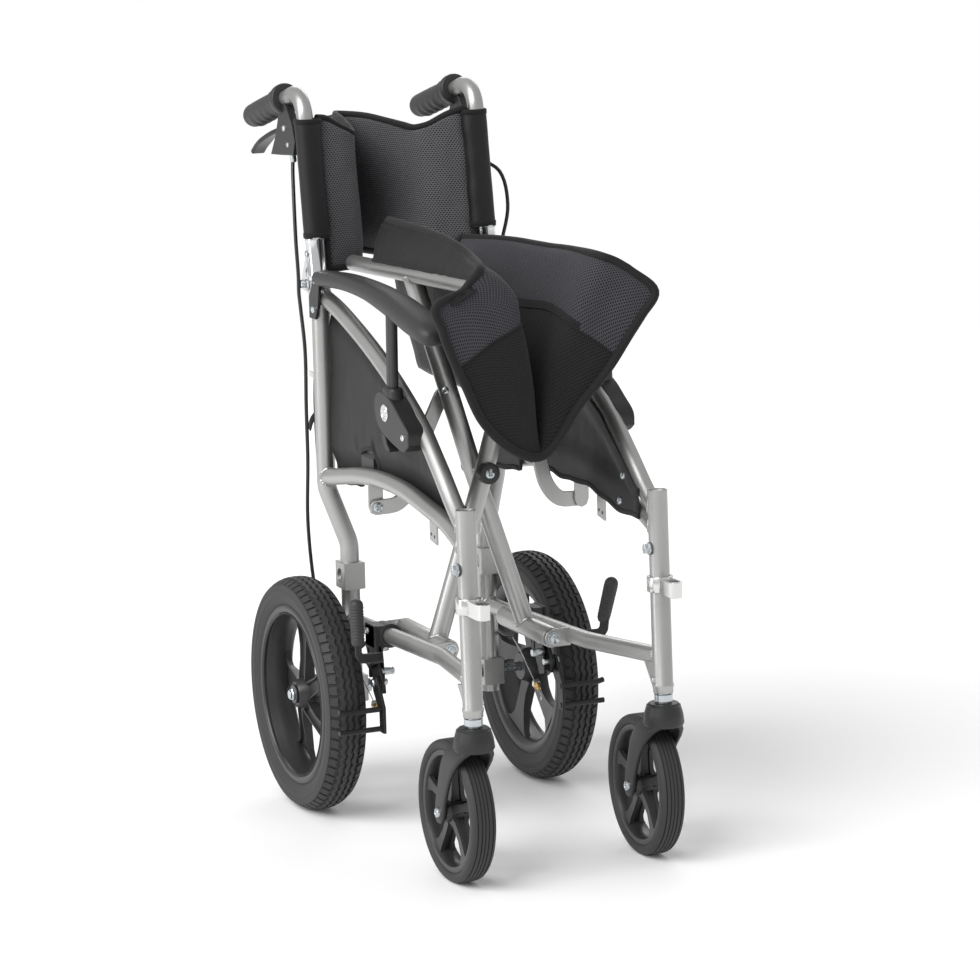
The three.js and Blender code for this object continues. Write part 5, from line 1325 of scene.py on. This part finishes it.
# The sling: a strip of black nylon from each seat rail up to the cushion's bound edge
for side, k in sides.items():
    body = "cross_a" if side == "right" else "cross_b"
    column = 0 if side == "right" else -1
    tops = [row[column] for row in seat_grid if row[column].y > 60]
    strip_rows = []
    for p in tops:
        share = (p.y - seat_rail_front[0]) / (seat_rail_rear[0] - seat_rail_front[0])
        rail_z = seat_rail_front[1] + (seat_rail_rear[1] - seat_rail_front[1]) * share
        low = Vector((k * 80, p.y, rail_z + 9))
        strip_rows.append([low, low.lerp(p, 0.33) + Vector((k * 4, 0, 0)),
            low.lerp(p, 0.7) + Vector((k * 4.5, 0, 1)), p])
    fine = spun_between(strip_rows, 4, 1)
    for r, row in enumerate(fine):
        for c, point in enumerate(row):
            point += Vector((k * 1.4 * noise.noise(Vector((point.y * 0.06, point.z * 0.03, 5.0))), 0, 0))
    sling = cloth_object(f"{side}_sling_strip", fine, [guard_nylon], lambda r, c: 0, thick=2.5)
    made_plain(sling)
    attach(sling, body)
    fit(f"{side}_sling_binding", bar([row[0] for row in fine], 4.2, 12), binding_black, body,
        crease=60)


# --- Back sling -------------------------------------------------------------------------------
# A padded back of grey spacer mesh on black nylon, sleeved over both canes. Folding the chair gathers
# it rearwards between them in a deep V.

# A lighter copy of the grey spacer mesh: the stronger light on the back is painted into its yarn and hole
# colours.
back_mesh_painted_light = spacer_mesh("back_spacer_mesh_painted_light", (0.085, 0.085, 0.092), (0.135, 0.135, 0.145),
    (0.010, 0.010, 0.011))
panel_foot_z = 716
sleeve_foot_z, sleeve_top_z = 758, 913
back_plan = [(106, 529), (92, 533), (74, 539), (58, 546), (46, 560), (38, 585), (29, 625), (18, 672),
    (8, 712), (0, 732)]
back_tops = [914, 911, 902, 893, 889, 891, 896, 899, 900, 899]
for side, k in sides.items():
    rows = []
    for v in (0, 0.25, 0.5, 0.75, 0.93, 1.0):
        row = []
        for (x, y), top in zip(back_plan, back_tops):
            z = panel_foot_z + (top - panel_foot_z) * v
            puckered = 3.0 * noise.noise(Vector((x * 0.09 * k, y * 0.03, v * 2))) * v
            row.append(Vector((k * (x + puckered * 0.3), y - cane_y(908) + cane_y(z) + puckered,
                z + (puckered if v > 0.9 else 0))))
        rows.append(row)
    fine = spun_between(rows, 6, 8)
    for r, row in enumerate(fine):
        for c, point in enumerate(row):
            q, t = c / (len(row) - 1), r / (len(fine) - 1)
            swell = math.sin(math.pi * min(1, max(0, (q - 0.04) / 0.5))) ** 0.6 if q < 0.54 else math.sin(
                math.pi * (q - 0.54) / 0.46) ** 0.6
            point += Vector((-k * 0.55, -0.8, 0)).normalized() * 6 * swell * min(1, t / 0.12, (1 - t) / 0.08)
            point += Vector((0, 1.6, 1.0)) * noise.noise(Vector((point.x * 0.05, point.y * 0.02,
                point.z * 0.03)))
    panel = cloth_object(f"{side}_back_panel", fine, [back_mesh_painted_light, guard_nylon], lambda r, c: 0, thick=15)
    inward = Vector((-k, -0.6, 0))
    if panel.data.polygons[len(panel.data.polygons) // 2].normal.dot(inward) < 0:
        panel.data.flip_normals()
    made_plain(panel)
    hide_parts(f"{side}_back_half")
    edges = new_object(f"{side}_back_binding", joined(
        bar(fine[-1], 4.6, 12), bar(fine[0], 4.4, 12),
        bar([row[0] for row in fine], 4.6, 12)), binding_black, 60)
    for piece in (panel, edges):
        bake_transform(piece)
    # The sleeve, a flattened loop of nylon round the cane
    rings = []
    for s in range(41):
        t = s / 40
        z = sleeve_foot_z + (sleeve_top_z - sleeve_foot_z) * t
        wrinkle = 0.7 * math.sin(9 * t) + 0.5 * math.sin(23 * t + k)
        flare = 0.6 if s in (0, 40) else 0
        rings.append(rounded((k * (119 - 0.4 * wrinkle), cane_y(z) + 0.5, z), X, Y,
            17.5 + 0.5 * wrinkle + flare, 13.2 + 0.3 * wrinkle + flare, 2.3, 36))
    inner_rings = [[p.lerp(Vector((k * 119, cane_y(ring[0].z), p.z)), 0.09) for p in ring]
        for ring in (rings[-1], rings[0])]
    sleeve = fit(f"{side}_back_sleeve", loft(rings + inner_rings + [rings[0]], caps=False), guard_nylon,
        f"{side}_handle", crease=60)
    fit(f"{side}_sleeve_hems",
        joined(*[strap_along(ring + ring[:2], 3.2, 0.9, (0, 0, 1)) for ring in (rings[1], rings[-2])]),
        binding_black,
        f"{side}_handle", crease=60)


# --- Folded strap -----------------------------------------------------------------------------
# A black webbing strap, rolled up and held by its metal slider behind the right upright.

webbing = []
for shift, top, low in ((0, 583, 456), (2.4, 580, 452), (4.8, 576, 470)):
    line = smooth_line([(-126 + shift, 511 + shift, top), (-127 + shift, 513, 540),
        (-126 + shift, 515, 500), (-125 + shift, 514 + shift, low)], 8)
    webbing.append(strap_along(line, 9, 0.9, (0.25, 1, 0)))
webbing.append(strap_along(smooth_line([(-126, 516, 520), (-128, 524, 512), (-129, 531, 500)], 6), 5, 0.9,
    (0, 0.6, 0.8)))
fit("stowed_strap", joined(*webbing), binding_black, "frame_right", crease=50)
slider = plate([(500, 570), (524, 572), (524, 581), (500, 579)], -129.5, -119)
fit("strap_slider", slider, cut_metal, "frame_right", edge=1.0)
